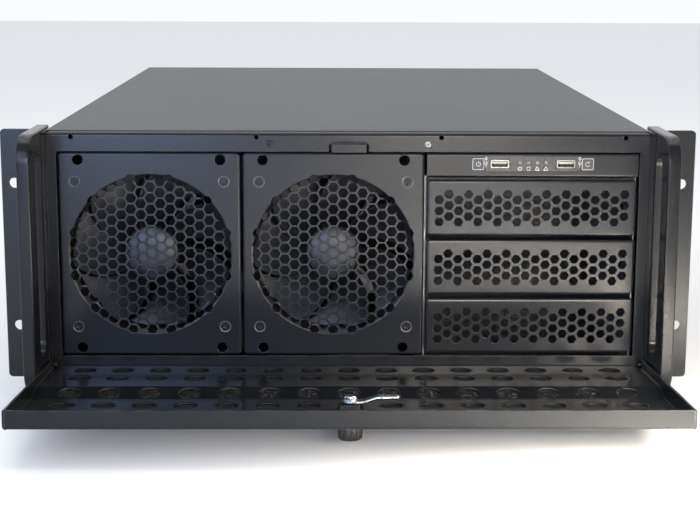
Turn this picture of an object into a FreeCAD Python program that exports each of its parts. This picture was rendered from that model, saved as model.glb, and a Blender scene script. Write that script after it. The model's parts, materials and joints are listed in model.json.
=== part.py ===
import FreeCAD, Part
import math
import os

# A 4U rackmount server case: a folded steel body with rack ears and loop handles, two fan panels,
# three drive-bay covers, a control strip, and a perforated door that drops open on two pins.
# Millimetres. X runs to the right of the front, Y to the rear, Z up. Everything is drawn from the
# ears' lower edge and front face, then lowered so that the origin is the centre of the rack holes.
# The width and height of the front add up from the fan panels and bay covers that it holds.

# ---- sheet and running fits ------------------------------------------------------------------
SHEET = 1.2             # body sheet
FACE_T = 1.5            # front panel and fan panels
COVER_T = 1.2           # bay covers and control strip
SEAM = 0.2              # gap left between folded sheets
RUNNING = 0.05          # radial play of a turning fit
GAP = 0.6               # gap round the panels in the opening
BEND = 2 * SHEET        # outside radius of a fold in the body sheet

# ---- fans and fan panels ---------------------------------------------------------------------
FAN_SIZE = 120.0
FAN_DEPTH = 38.0
FAN_SCREW_INSET = 7.5   # screw centre from the fan's side
FAN_WALL = 1.2          # fan frame between its bore and its side
FAN_CORNER = 5.0
FAN_PANEL_MARGIN = 4.3  # panel past the fan on each side
FAN_PANEL_GAP = 1.2
DISH_WALL = 3.5         # radial width of the dish's sloping wall
DISH_DEPTH = 4.0
DISH_INSET = 2.5        # dish rim inside the fan's side
GRILLE_RINGS = 3
GRILLE_STRAND = 2.0     # sheet left between two holes of the grille
GRILLE_EDGE = 2.9       # sheet left beside the outermost holes
ROUND_SIDES = 24        # facets of the large round walls
HUB_R = 20.0
BLADES = 7
BLADE_GAP = 1.4         # from the blade tips to the bore
BLADE_T = 1.6
BLADE_STATIONS = 3
FINGER_HOLE_R = 3.8
FINGER_HOLE_IN = 2.5    # inside the fan screw, across
FINGER_HOLE_EDGE = 5.4  # from the panel's upper or lower edge

# ---- drive bays and control strip ------------------------------------------------------------
BAY_COVER_W = 149.4
BAY_COVER_H = 40.4
BAY_GAP = 2.5           # between two covers
BAY_COUNT = 3
BAY_FAN_GAP = 1.8       # between the covers and the fan panel
BAY_SIDE_GAP = 1.0
BAY_LOW_GAP = 1.9
BAY_FLANGE = 12.0
BAY_HEX = 12.8
BAY_HEX_PITCH = 16.0
BAY_HEX_EDGE = 8.0      # sheet left beside the field of hexagons
BAY_ROWS = 2
CONTROL_H = 17.6
CONTROL_GAP = 1.7       # under the control strip
CONTROL_DEPTH = 14.4
BUTTON_W = 8.4
BUTTON_X = 38.7         # from the strip's middle
BUTTON_TRAVEL = 1.0
USB_X = 23.4
USB_W = 13.2
USB_H = 5.8
USB_WALL = 0.5
LED_R = 1.5
LED_PITCH = 6.1
CAGE_DEPTH = 175.2

# ---- body ------------------------------------------------------------------------------------
BODY_BACK = 612.0       # rear face of the body
FLOOR_Z = 1.6           # underside of the body
COVER_RISE = 0.6        # top cover over the front panel
COVER_FRONT = 20.0      # front edge of the top cover
COVER_SKIRT = 16.0      # how far the cover's sides hang down
COVER_LIP = 10.0        # rear lip of the cover

# ---- front panel -----------------------------------------------------------------------------
FACE_Y = 12.0           # front plane of the front panel, behind the ears' front
FLANGE = 9.5            # flanges that fix the front panel to the body
FRAME_SIDE = 7.0        # panel beside the opening
FRAME_LOW = 12.0        # lower edge of the opening
STRIP_H = 13.4          # strip over the opening
INSET = 0.6             # fan panels and covers stand this far behind the front plane
CATCH_W = 24.6
CATCH_H = 5.3
CATCH_SLOT = 1.7
CATCH_FORWARD = 4.3     # the catch tongue is pressed forward by this

# ---- rack ears -------------------------------------------------------------------------------
EAR_REACH = 26.3        # ear past the body on each side
EAR_RISE = 3.0          # ear over the top cover
EAR_T = 2.0
EAR_CORNER = 3.0
EAR_GAP = 0.2           # from the body's side to the ear's inner edge
RACK_HOLE_EDGE = 8.75   # hole centre from the ear's outer edge
RACK_HOLE_Z = 101.6     # hole to hole up
RACK_HOLE_R = 3.6
EAR_LEG = 40.0          # how far the ear's leg runs back along the body
EAR_LEG_LOW = 24.0      # leg's lower end
EAR_LEG_DROP = 27.0     # leg's upper end below the ear's

# ---- handles ---------------------------------------------------------------------------------
HANDLE_INSET = 0.2      # handle's inner side inside the body's inner wall
HANDLE_W = 8.8
HANDLE_REACH = 47.0     # in front of the ears
HANDLE_BAND = 3.0
HANDLE_R = 17.0
HANDLE_TAIL = 25.0      # the top band runs on over the cover
HANDLE_RISE = 0.2       # top band over the ear
TAIL_T = 2.6
GRIP_END = 20.0         # grip slot's end from the handle's lower end
GRIP_TOP = 15.2         # and from its top
GRIP_R = 9.5
GRIP_OUT = 18.0         # slot's middle line in front of the ears
WEB_T = 5.0
HANDLE_PAD = 6.0

# ---- door ------------------------------------------------------------------------------------
DOOR_T = 1.5
DOOR_SIDE_GAP = 1.1     # to the body's inner wall
DOOR_TOP_GAP = 1.9      # below the front panel's top
DOOR_LIP = 12.0
DOOR_FACE = -1.0        # outer face of the shut door
DOOR_LOW = 3.5          # lower edge of the shut door
DOOR_STEP = 4.5         # the lower half lies this much deeper
STEP_FROM = 70.5
STEP_RUN = 17.0
HINGE_U = 3.5           # hinge axis, from the door's lower edge
HINGE_W = 8.0           # and from its outer face
HINGE_R = 2.0
HINGE_EAR_R = 4.2
OPEN_ANGLE = 85.5
VENT_R = 7.5
VENT_SIDE = 25.3        # first vent from the door's side
VENT_COLUMNS = 15
VENT_FIRST = 15.0       # rows of vents, from the lower edge
VENT_SECOND = 42.0
VENT_LAST = 107.0
LOCK_FLANGE_R = 11.0
LOCK_FLANGE_T = 4.5
LOCK_R = 8.0
KNOB_R = 8.0
KNOB_END = 16.0
KNOB_GROOVES = 6
SPINDLE_R = 3.0
CAM_L = 32.0
CAM_T = 2.0
CAM_W = 9.0
CAM_RISE = 3.0
CAM_HOLD = 3.5          # the turned cam stands this far over the opening's upper edge
MESH_T = 0.6
MESH_FROM = 6.0         # mesh from the door's lower edge
MESH_PAST = 2.0         # and past the last row of vents

# ---- rear ------------------------------------------------------------------------------------
IO_W = 158.75
IO_H = 44.45
IO_PSU_GAP = 6.25
REAR_LOW = 14.0         # lower edge of the openings in the rear panel
SLOT_COUNT = 7
SLOT_SIDE = 24.68       # last slot's middle to the body's inner wall
SLOT_RIB = 7.32         # panel between two slots
SLOT_H = 104.0
SLOT_IO_GAP = 18.0      # first slot's middle from the board opening
PSU_W = 82.0
PSU_H = 142.0
PSU_SIDE = 13.6         # power supply opening to the body's inner wall
rear_fan_rIB = 2.7      # panel beside each fan's slots, over the board opening
rear_fan_rISE = 56.55   # over the board opening
REAR_SLOT_W = 5.0
REAR_SLOT_PITCH = 9.0
CARD_BAR_Y = 330.0
CARD_BAR_W = 24.0
CARD_BAR_H = 14.0
CARD_BAR_DROP = 12.0    # below the side walls' upper edge
STANDOFF_H = 8.0
STANDOFF_R = 3.2
BOARD_SIDE = 23.35      # board's first holes to the body's inner wall
BOARD_END = 18.0        # and its last ones inside the board opening's right edge
BOARD_MIDDLE = 0.4415   # middle holes, as a share of the way between them
BOARD_HOLE_Y = [17.0, 171.0, 244.0]

FASTENER_SIDES = 6
LOCK_SIDES = 10
VENT_SIDES = 6

# ---- places worked out from the sizes above --------------------------------------------------
fan_panel_w = FAN_SIZE + 2 * FAN_PANEL_MARGIN
fan_screw = FAN_SIZE - 2 * FAN_SCREW_INSET
fan_bore_r = FAN_SIZE / 2 - FAN_WALL
dish_r = FAN_SIZE / 2 - DISH_INSET
blade_tip_r = fan_bore_r - BLADE_GAP
grille_pitch = (dish_r - DISH_WALL - GRILLE_EDGE) / (GRILLE_RINGS + 0.5)
grille_hex = grille_pitch - GRILLE_STRAND
open_half = (GAP + 2 * fan_panel_w + FAN_PANEL_GAP + BAY_FAN_GAP + BAY_COVER_W + BAY_SIDE_GAP) / 2
open_low = FRAME_LOW
open_high = open_low + (GAP + CONTROL_H + CONTROL_GAP + BAY_COUNT * BAY_COVER_H
                        + (BAY_COUNT - 1) * BAY_GAP + BAY_LOW_GAP)
face_top = open_high + STRIP_H
cover_top = face_top + COVER_RISE
ear_h = cover_top + EAR_RISE
handle_top = ear_h + HANDLE_RISE
wall_in = open_half + FRAME_SIDE
wall_out = wall_in + SHEET
body_half = wall_out + SHEET
rack_half = body_half + EAR_REACH
rack_hole_x = rack_half - RACK_HOLE_EDGE
ear_in = wall_out + EAR_GAP
ear_leg_high = ear_h - EAR_LEG_DROP
handle_in = wall_in - HANDLE_INSET
floor_in = FLOOR_Z + SHEET
cover_under = cover_top - SHEET
panel_front = FACE_Y + INSET
panel_back = panel_front + FACE_T
fan_z = (open_low + open_high) / 2
finger_hole_x = fan_screw / 2 - FINGER_HOLE_IN
finger_hole_z = (open_high - open_low) / 2 - GAP - FINGER_HOLE_EDGE
fan_left_x = -open_half + GAP + fan_panel_w / 2
fan_right_x = fan_left_x + fan_panel_w + FAN_PANEL_GAP
bay_left = open_half - BAY_SIDE_GAP - BAY_COVER_W
bay_right = bay_left + BAY_COVER_W
bay_x = (bay_left + bay_right) / 2
control_top = open_high - GAP
control_low = control_top - CONTROL_H
bay_top = control_low - CONTROL_GAP
bay_pitch = BAY_COVER_H + BAY_GAP
bay_step = BAY_HEX_PITCH * math.sqrt(3) / 2
bay_columns = 1 + int((BAY_COVER_W - 2 * BAY_HEX_EDGE - 2 * BAY_HEX / math.sqrt(3)) / bay_step)
board_y = panel_front + CONTROL_DEPTH
cage_front = panel_front + BAY_FLANGE + SEAM
cage_back = cage_front + CAGE_DEPTH
door_half = wall_in - DOOR_SIDE_GAP
door_l = face_top - DOOR_TOP_GAP - DOOR_LOW
step_to = STEP_FROM + STEP_RUN
hinge_y = DOOR_FACE + HINGE_W
hinge_z = DOOR_LOW + HINGE_U
lock_z = open_high + CAM_HOLD - CAM_L
vent_rows = [VENT_FIRST, VENT_SECOND, (STEP_FROM + step_to) / 2, VENT_LAST]
vent_pitch = 2 * (door_half - VENT_SIDE) / (VENT_COLUMNS - 1)
psu_left = wall_in - PSU_SIDE - PSU_W
io_left = psu_left - IO_PSU_GAP - IO_W
slot_first_x = io_left - SLOT_IO_GAP
slot_pitch = (slot_first_x + wall_in - SLOT_SIDE) / (SLOT_COUNT - 1)
slot_w = slot_pitch - SLOT_RIB
slot_high = REAR_LOW + SLOT_H
rear_fan_x = io_left + IO_W / 4
rear_fan_pitch = IO_W / 2
rear_fan_r = IO_W / 4 - rear_fan_rIB
board_left = SHEET + BOARD_SIDE - wall_out
board_right = io_left + IO_W - BOARD_END
rear_fan_z = REAR_LOW + IO_H + rear_fan_rISE


# ---- helpers ---------------------------------------------------------------------------------
def vec(x, y, z):
    return FreeCAD.Vector(x, y, z)


def block(x0, x1, y0, y1, z0, z1):
    """A box between two corners."""
    return Part.makeBox(x1 - x0, y1 - y0, z1 - z0, vec(x0, y0, z0))


def place(a, b, plane, level):
    """A point given by two values in a named plane, at a level across it."""
    if plane == "yz":
        return vec(level, a, b)
    if plane == "xz":
        return vec(a, level, b)
    return vec(a, b, level)


def outline(corners, plane, level):
    """A closed wire through (a, b, radius) corners, with an arc at each corner that has a radius."""
    count = len(corners)
    edges = []
    ends = []
    for i in range(count):
        a, b, radius = corners[i]
        here = place(a, b, plane, level)
        before = place(corners[i - 1][0], corners[i - 1][1], plane, level)
        after = place(corners[(i + 1) % count][0], corners[(i + 1) % count][1], plane, level)
        back = (before - here).normalize()
        on = (after - here).normalize()
        if radius <= 0:
            ends.append((here, here))
            continue
        half = back.getAngle(on) / 2
        run = radius / math.tan(half)
        middle = here + (back + on).normalize() * (radius / math.sin(half) - radius)
        start = here + back * run
        end = here + on * run
        edges.append(Part.Arc(start, middle, end).toShape())
        ends.append((start, end))
    for i in range(count):
        start = ends[i][1]
        end = ends[(i + 1) % count][0]
        if start.distanceToPoint(end) > 1e-6:
            edges.append(Part.LineSegment(start, end).toShape())
    return Part.Wire(Part.__sortEdges__(edges))


def slab(corners, plane, start, end):
    """The outline as a plate between two levels across its plane."""
    face = Part.Face(outline(corners, plane, start))
    return face.extrude(place(0, 0, plane, end) - place(0, 0, plane, start))


def rounded(a0, a1, b0, b1, radius):
    """Corners of a rectangle with one radius."""
    return [(a0, b0, radius), (a1, b0, radius), (a1, b1, radius), (a0, b1, radius)]


def prism(x, z, radius, y0, y1, sides=FASTENER_SIDES, turn=0.0):
    """A regular prism along Y; radius is to its corners."""
    points = []
    for i in range(sides):
        angle = turn + 2 * math.pi * i / sides
        points.append(vec(x + radius * math.cos(angle), y0, z + radius * math.sin(angle)))
    points.append(points[0])
    return Part.Face(Part.makePolygon(points)).extrude(vec(0, y1 - y0, 0))


def rod(centre, axis, radius, length):
    return Part.makeCylinder(radius, length, centre, axis)


def mirror(shape):
    return shape.mirror(vec(0, 0, 0), vec(1, 0, 0))


def cut_all(shape, tools):
    return shape.cut(Part.makeCompound(tools))


def joined(shape, others):
    return shape.fuse(others).removeSplitter()


def save(name, shape):
    """Moves a finished piece so that the rack holes' centre is the origin, and writes it."""
    piece = shape.copy()
    piece.translate(vec(0, 0, -ear_h / 2))
    piece.exportStep("parts/" + name + ".step")


def opened(shape):
    """Turns a piece of the shut door about the hinge to where the door hangs open."""
    piece = shape.copy()
    piece.rotate(vec(0, hinge_y, hinge_z), vec(1, 0, 0), OPEN_ANGLE)
    return piece


# ---- rack ears: an L with the rack holes in its wide flange ----------------------------------
HINGE_HEAD_R = 3.4
HINGE_HEAD_T = 1.4
HANDLE_SCREW_IN = 6.0
HANDLE_SCREW_END = 12.0
HANDLE_SCREW_R = 1.9
HANDLE_SCREW_HEAD_R = 2.8
HANDLE_SCREW_HEAD_T = 1.8
EAR_SCREW_Y = 26.0
EAR_SCREW_R = 1.6
EAR_SCREW_HEAD_R = 3.2
EAR_SCREW_HEAD_T = 1.4
EAR_SCREW_END = 10.0
handle_screw_x = handle_in + HANDLE_SCREW_IN
handle_screw_heights = [HANDLE_SCREW_END, ear_h - HANDLE_SCREW_END]
ear_screw_heights = [EAR_LEG_LOW + EAR_SCREW_END, (EAR_LEG_LOW + ear_leg_high) / 2,
                     ear_leg_high - EAR_SCREW_END]


def make_ear():
    flange = slab([(ear_in, 0, 0), (rack_half, 0, EAR_CORNER), (rack_half, ear_h, EAR_CORNER),
                   (ear_in, ear_h, 0)], "xz", 0, EAR_T)
    fold = EAR_T + 0.5
    leg = slab([(wall_out, EAR_LEG, 0), (wall_out, 0, 0), (wall_out + EAR_T + fold, 0, 0),
                (wall_out + EAR_T + fold, EAR_T, 0), (wall_out + EAR_T, EAR_T, 0.5),
                (wall_out + EAR_T, EAR_LEG, 0)], "xy", EAR_LEG_LOW, ear_leg_high)
    ear = joined(flange, [leg])
    tail_room = block(ear_in - 1, handle_in + HANDLE_W + SEAM, -1, EAR_T + 1,
                      handle_top - TAIL_T - SEAM, ear_h + 1)
    middle = ear_h / 2
    holes = [tail_room]
    for side in (-1, 1):
        centre = vec(rack_hole_x, -1, middle + side * RACK_HOLE_Z / 2)
        holes.append(rod(centre, vec(0, 1, 0), RACK_HOLE_R, EAR_T + 2))
    for z in handle_screw_heights:
        holes.append(prism(handle_screw_x, z, HANDLE_SCREW_R + SEAM, -1, EAR_T + 1))
    for z in ear_screw_heights:
        holes.append(across(wall_out - 1, wall_out + EAR_T + 1, EAR_SCREW_Y, z, EAR_SCREW_R + SEAM))
    return cut_all(ear, holes)


def across(x0, x1, y, z, radius, sides=FASTENER_SIDES):
    """A regular prism along X."""
    points = []
    for i in range(sides):
        angle = 2 * math.pi * i / sides
        points.append(vec(x0, y + radius * math.cos(angle), z + radius * math.sin(angle)))
    points.append(points[0])
    return Part.Face(Part.makePolygon(points)).extrude(vec(x1 - x0, 0, 0))


# ---- handles: a web with a grip slot inside a wide outer band, screwed on from behind ---------
def make_handle():
    low = 0.0
    tail_under = handle_top - TAIL_T
    outer = [(HANDLE_TAIL, handle_top, 0), (-HANDLE_REACH, handle_top, HANDLE_R),
             (-HANDLE_REACH, low, HANDLE_R), (0, low, 0), (0, tail_under, 0),
             (HANDLE_TAIL, tail_under, TAIL_T / 2)]
    x1 = handle_in + HANDLE_W
    body = slab(outer, "yz", handle_in, x1)
    inner = rounded(-HANDLE_REACH + HANDLE_BAND, -HANDLE_PAD, low + HANDLE_BAND,
                    handle_top - HANDLE_BAND, HANDLE_R - HANDLE_BAND)
    inner[1] = (inner[1][0], inner[1][1], 2.0)
    inner[2] = (inner[2][0], inner[2][1], 2.0)
    grip = rounded(-GRIP_OUT - GRIP_R, -GRIP_OUT + GRIP_R, GRIP_END, handle_top - GRIP_TOP, GRIP_R * 0.999)
    cuts = [slab(inner, "yz", handle_in + WEB_T, x1 + 1), slab(grip, "yz", handle_in - 1, x1 + 1)]
    for z in handle_screw_heights:
        cuts.append(prism(handle_screw_x, z, HANDLE_SCREW_R, -HANDLE_PAD + 1, 1))
    return cut_all(body, cuts)


def make_handle_screws():
    screws = []
    for side in (-1, 1):
        for z in handle_screw_heights:
            x = side * handle_screw_x
            shank = prism(x, z, HANDLE_SCREW_R - RUNNING, -HANDLE_PAD + 1.2, EAR_T)
            head = prism(x, z, HANDLE_SCREW_HEAD_R, EAR_T, EAR_T + HANDLE_SCREW_HEAD_T)
            screws.append(joined(shank, [head]))
    return Part.makeCompound(screws)


def make_ear_screws():
    screws = []
    for z in ear_screw_heights:
        shank = across(wall_in + SEAM, wall_out + EAR_T, EAR_SCREW_Y, z, EAR_SCREW_R)
        head = across(wall_out + EAR_T, wall_out + EAR_T + EAR_SCREW_HEAD_T, EAR_SCREW_Y, z, EAR_SCREW_HEAD_R)
        screw = joined(shank, [head])
        screws.append(screw)
        screws.append(mirror(screw))
    return Part.makeCompound(screws)


# ---- body tray: floor and side walls folded from one sheet -----------------------------------
COVER_SCREW_END = 50.0
COVER_SCREW_R = 1.6
COVER_SCREW_HEAD_R = 3.0
COVER_SCREW_HEAD_T = 1.4
cover_screw_z = cover_top - COVER_SKIRT / 2
cover_screw_places = [COVER_FRONT + COVER_SCREW_END, (COVER_FRONT + BODY_BACK) / 2,
                      BODY_BACK - COVER_SCREW_END]
wall_top = cover_under - BEND / 2


def make_tray():
    radius = BEND - SHEET
    section = [(-wall_out, wall_top, 0), (-wall_out, FLOOR_Z, BEND), (wall_out, FLOOR_Z, BEND),
               (wall_out, wall_top, 0), (wall_in, wall_top, 0), (wall_in, floor_in, radius),
               (-wall_in, floor_in, radius), (-wall_in, wall_top, 0)]
    tray = slab(section, "xz", EAR_T, BODY_BACK)
    cuts = [block(-wall_in, wall_in, EAR_T - 1, FACE_Y, 0, floor_in + BEND)]
    for side in (-1, 1):
        edge = sorted((side * (wall_in - 1), side * (wall_out + 1)))
        cuts.append(rod(vec(edge[0], hinge_y, hinge_z), vec(1, 0, 0), HINGE_R + RUNNING, edge[1] - edge[0]))
        for z in ear_screw_heights:
            cuts.append(across(edge[0], edge[1], EAR_SCREW_Y, z, EAR_SCREW_R + SEAM))
        for y in cover_screw_places:
            cuts.append(across(edge[0], edge[1], y, cover_screw_z, COVER_SCREW_R + SEAM))
    return cut_all(tray, cuts)


# ---- top cover: a flat top with short sides and a rear lip folded down -----------------------
def make_cover():
    half = body_half
    radius = BEND - SHEET
    low = cover_top - COVER_SKIRT
    section = [(-half, low, 0), (-half, cover_top, BEND), (half, cover_top, BEND), (half, low, 0),
               (half - SHEET, low, 0), (half - SHEET, cover_under, radius),
               (-half + SHEET, cover_under, radius), (-half + SHEET, low, 0)]
    skin = slab(section, "xz", COVER_FRONT, BODY_BACK + SEAM)
    back = BODY_BACK + SEAM
    lip_section = [(back, cover_top, 0), (back + SHEET, cover_top, SHEET * 0.9),
                   (back + SHEET, cover_top - COVER_LIP, 0), (back, cover_top - COVER_LIP, 0)]
    lip = slab(lip_section, "yz", -half + BEND, half - BEND)
    cuts = []
    for side in (-1, 1):
        edge = sorted((side * (wall_out - 1), side * (half + 1)))
        for y in cover_screw_places:
            cuts.append(across(edge[0], edge[1], y, cover_screw_z, COVER_SCREW_R + SEAM))
    return cut_all(joined(skin, [lip]), cuts)


def make_cover_screws():
    screws = []
    half = body_half
    for y in cover_screw_places:
        shank = across(wall_in, half, y, cover_screw_z, COVER_SCREW_R)
        head = across(half, half + COVER_SCREW_HEAD_T, y, cover_screw_z, COVER_SCREW_HEAD_R)
        screw = joined(shank, [head])
        screws.append(screw)
        screws.append(mirror(screw))
    return Part.makeCompound(screws)


# ---- front panel: folded frame round one wide opening, with the lock's catch tongue -----------
STRIP_HOLE_R = 1.9
STRIP_HOLE_SIDE = 10.6
STRIP_HOLE_COUNT = 4
STRIP_HOLE_DROP = 3.2
STRIP_SCREW_X = 55.0
STRIP_SCREW_DROP = 7.8
STRIP_SCREW_R = 1.5
STRIP_SCREW_HEAD_R = 3.0
STRIP_SCREW_HEAD_T = 0.9
flange_step_y = COVER_FRONT - SEAM


def corner_reliefs(y0, y1):
    """Cut-outs that keep a folded end clear of the tray's two lower bends."""
    clear = BEND - SHEET + SEAM
    reliefs = []
    for side in (-1, 1):
        edge = sorted((side * (wall_in - clear), side * (wall_in + 1)))
        reliefs.append(block(edge[0], edge[1], y0, y1, floor_in - 1, floor_in + clear))
    return reliefs


def make_front_panel():
    back = FACE_Y + FACE_T
    end = back + FLANGE
    top_section = [(FACE_Y, floor_in, 0), (FACE_Y, face_top, BEND), (flange_step_y, face_top, 0),
                   (flange_step_y, cover_under, 0), (end, cover_under, 0),
                   (end, cover_under - FACE_T, 0), (flange_step_y - FACE_T, cover_under - FACE_T, 0),
                   (flange_step_y - FACE_T, face_top - FACE_T, 0), (back, face_top - FACE_T, BEND - FACE_T),
                   (back, floor_in + FACE_T, 0), (end, floor_in + FACE_T, 0), (end, floor_in, 0)]
    face = slab(top_section, "yz", -wall_in, wall_in)
    sides = []
    for side in (-1, 1):
        edge = sorted((side * wall_in, side * (wall_in - FACE_T)))
        sides.append(block(edge[0], edge[1], back, end, open_low, open_high))
    panel = joined(face, sides)
    slot = CATCH_W / 2 + CATCH_SLOT
    cuts = corner_reliefs(FACE_Y - 1, end + 1)
    cuts.append(block(-open_half, open_half, FACE_Y - 1, end + 1, open_low, open_high))
    cuts.append(block(-slot, slot, FACE_Y - 1, back + 1, open_high - 1, open_high + CATCH_H))
    for i in range(STRIP_HOLE_COUNT):
        x = (open_half - STRIP_HOLE_SIDE) * (2.0 * i / (STRIP_HOLE_COUNT - 1) - 1)
        cuts.append(prism(x, face_top - STRIP_HOLE_DROP, STRIP_HOLE_R, FACE_Y - 1, back + 1))
    for x in (-STRIP_SCREW_X, STRIP_SCREW_X):
        cuts.append(prism(x, face_top - STRIP_SCREW_DROP, STRIP_SCREW_R + SEAM, FACE_Y - 1, back + 1))
    panel = cut_all(panel, cuts)
    tongue_section = [(FACE_Y, open_high + CATCH_H + FACE_T, 0), (back, open_high + CATCH_H, 0),
                      (back - CATCH_FORWARD, open_high + CATCH_H, 0), (back - CATCH_FORWARD, open_high, 0),
                      (FACE_Y - CATCH_FORWARD, open_high, 0),
                      (FACE_Y - CATCH_FORWARD, open_high + CATCH_H + FACE_T, FACE_T)]
    tongue = slab(tongue_section, "yz", -CATCH_W / 2, CATCH_W / 2)
    return joined(panel, [tongue])


def make_strip_screws():
    screws = []
    z = face_top - STRIP_SCREW_DROP
    for x in (-STRIP_SCREW_X, STRIP_SCREW_X):
        head = prism(x, z, STRIP_SCREW_HEAD_R, FACE_Y - STRIP_SCREW_HEAD_T, FACE_Y)
        shank = prism(x, z, STRIP_SCREW_R, FACE_Y, FACE_Y + FACE_T + 1.5)
        screws.append(joined(head, [shank]))
    return Part.makeCompound(screws)


# ---- fan panels: a folded plate with a dished grille -----------------------------------------
FAN_FLANGE = 11.0
FAN_SCREW_R = 2.0
FAN_SCREW_HEAD_R = 3.7
FAN_SCREW_HEAD_T = 1.0


def screw_square(x):
    """The four screw places of a fan centred at x."""
    half = fan_screw / 2
    return [(x + i * half, fan_z + k * half) for i in (-1, 1) for k in (-1, 1)]


def make_fan_panel(x):
    half_w = fan_panel_w / 2
    half_h = (open_high - open_low) / 2 - GAP
    plate = block(x - half_w, x + half_w, panel_front, panel_back, fan_z - half_h, fan_z + half_h)
    rim = block(x - half_w, x + half_w, panel_back, panel_back + FAN_FLANGE, fan_z - half_h, fan_z + half_h)
    hollow = block(x - half_w + FACE_T, x + half_w - FACE_T, panel_back - 1, panel_back + FAN_FLANGE + 1,
                   fan_z - half_h + FACE_T, fan_z + half_h - FACE_T)
    rim = rim.cut(hollow)
    wall = math.hypot(DISH_WALL, DISH_DEPTH)
    over = FACE_T * DISH_DEPTH / wall
    deep = FACE_T * DISH_WALL / wall
    slope = DISH_WALL / DISH_DEPTH
    back_rim = dish_r + over - (FACE_T - deep) * slope
    back_foot = dish_r - DISH_WALL + over - (FACE_T - deep) * slope
    edge = dish_r + 3.0
    floor_y = panel_front + DISH_DEPTH
    mouth = round_wall(x, dish_r, panel_front - FACE_T, dish_r, panel_front)
    inner = round_wall(x, dish_r, panel_front, dish_r - DISH_WALL, floor_y)
    outer = round_wall(x, back_rim, panel_back, back_foot, floor_y + FACE_T)
    collar = round_wall(x, edge, panel_front, edge, panel_back)
    panel = joined(plate, [rim]).cut(collar)
    panel = joined(panel, [collar.fuse(outer).cut(mouth.fuse(inner))])
    cuts = grille_cutters(x, fan_z, grille_pitch, grille_hex, GRILLE_RINGS)
    for sx, sz in screw_square(x):
        cuts.append(prism(sx, sz, FAN_SCREW_R + SEAM, panel_front - 1, panel_back + 1))
        cuts.append(prism(sx, sz, FAN_SCREW_HEAD_R + SEAM, panel_front - 1, panel_front + FAN_SCREW_HEAD_T))
    for i in (-1, 1):
        for k in (-1, 1):
            cuts.append(prism(x + i * finger_hole_x, fan_z + k * finger_hole_z, FINGER_HOLE_R,
                              panel_front - 1, panel_back + 1))
    return cut_all(panel, cuts)


def grille_cutters(x, z, pitch, flats, rings):
    """Hexagons in rings round a middle one, with their corners left and right."""
    cutters = []
    corner = flats / math.sqrt(3)
    for i in range(-rings, rings + 1):
        for k in range(-rings, rings + 1):
            if abs(i + k) > rings:
                continue
            cx = x + i * pitch * math.sqrt(3) / 2
            cz = z + (k + i / 2) * pitch
            cutters.append(prism(cx, cz, corner, panel_front + 1, panel_back + DISH_DEPTH + 1, 6))
    return cutters


def round_wall(x, r0, y0, r1, y1):
    """A faceted drum or cone between two levels, centred on a fan."""
    rings = []
    for radius, y in ((r0, y0), (r1, y1)):
        points = []
        for i in range(ROUND_SIDES + 1):
            angle = 2 * math.pi * i / ROUND_SIDES
            points.append(vec(x + radius * math.cos(angle), y, fan_z + radius * math.sin(angle)))
        rings.append(Part.makePolygon(points))
    return Part.makeLoft(rings, True, True)


def make_fan_screws(x):
    screws = []
    for sx, sz in screw_square(x):
        head = prism(sx, sz, FAN_SCREW_HEAD_R, panel_front, panel_front + FAN_SCREW_HEAD_T)
        shank = prism(sx, sz, FAN_SCREW_R, panel_front + FAN_SCREW_HEAD_T, panel_back + 5.0)
        screws.append(joined(head, [shank]))
    return Part.makeCompound(screws)


# ---- fans: moulded frame with struts, and a rotor of seven swept blades ----------------------
FAN_FLANGE_T = 4.0
STRUT_W = 5.0
STRUT_T = 5.0
ROTOR_GAP = 1.2         # between the dish and the hub


def make_fan_frame(x):
    half = FAN_SIZE / 2
    front = panel_back
    back = front + FAN_DEPTH
    square = rounded(x - half, x + half, fan_z - half, fan_z + half, FAN_CORNER)
    frame = slab(square, "xz", front, back)
    ring_out = round_wall(x, half, front, half, back)
    waist = block(x - half - 1, x + half + 1, front + FAN_FLANGE_T, back - FAN_FLANGE_T,
                  fan_z - half - 1, fan_z + half + 1).cut(ring_out)
    bore = round_wall(x, fan_bore_r, front - 1, fan_bore_r, back + 1)
    frame = frame.cut(waist).cut(bore)
    for sx, sz in screw_square(x):
        frame = frame.cut(prism(sx, sz, FAN_SCREW_R + RUNNING, front - 1, back + 1))
    hub = round_wall(x, HUB_R, back - STRUT_T, HUB_R, back)
    struts = []
    for turn in (45, 135, 225, 315):
        strut = block(HUB_R - 2, fan_bore_r + 0.6, back - STRUT_T, back, -STRUT_W / 2, STRUT_W / 2)
        strut.rotate(vec(0, 0, 0), vec(0, 1, 0), turn)
        strut.translate(vec(x, 0, fan_z))
        struts.append(strut)
    return joined(frame, [hub] + struts)


def blade_ring(radius, sweep, y0, y1):
    """Points round a blade's section at one radius: along its lower face and back along its upper."""
    half_turn = math.pi / BLADES * 0.86
    belly = BLADE_T * 1.8
    points = []
    for side in (1, -1):
        for i in range(BLADE_STATIONS):
            s = side * (2.0 * i / (BLADE_STATIONS - 1) - 1)
            angle = sweep + s * half_turn
            y = (y0 + y1) / 2 + s * (y1 - y0) / 2 + belly * (1 - s * s) - side * BLADE_T / 2
            points.append(vec(radius * math.sin(angle), y, radius * math.cos(angle)))
    return points


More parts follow.
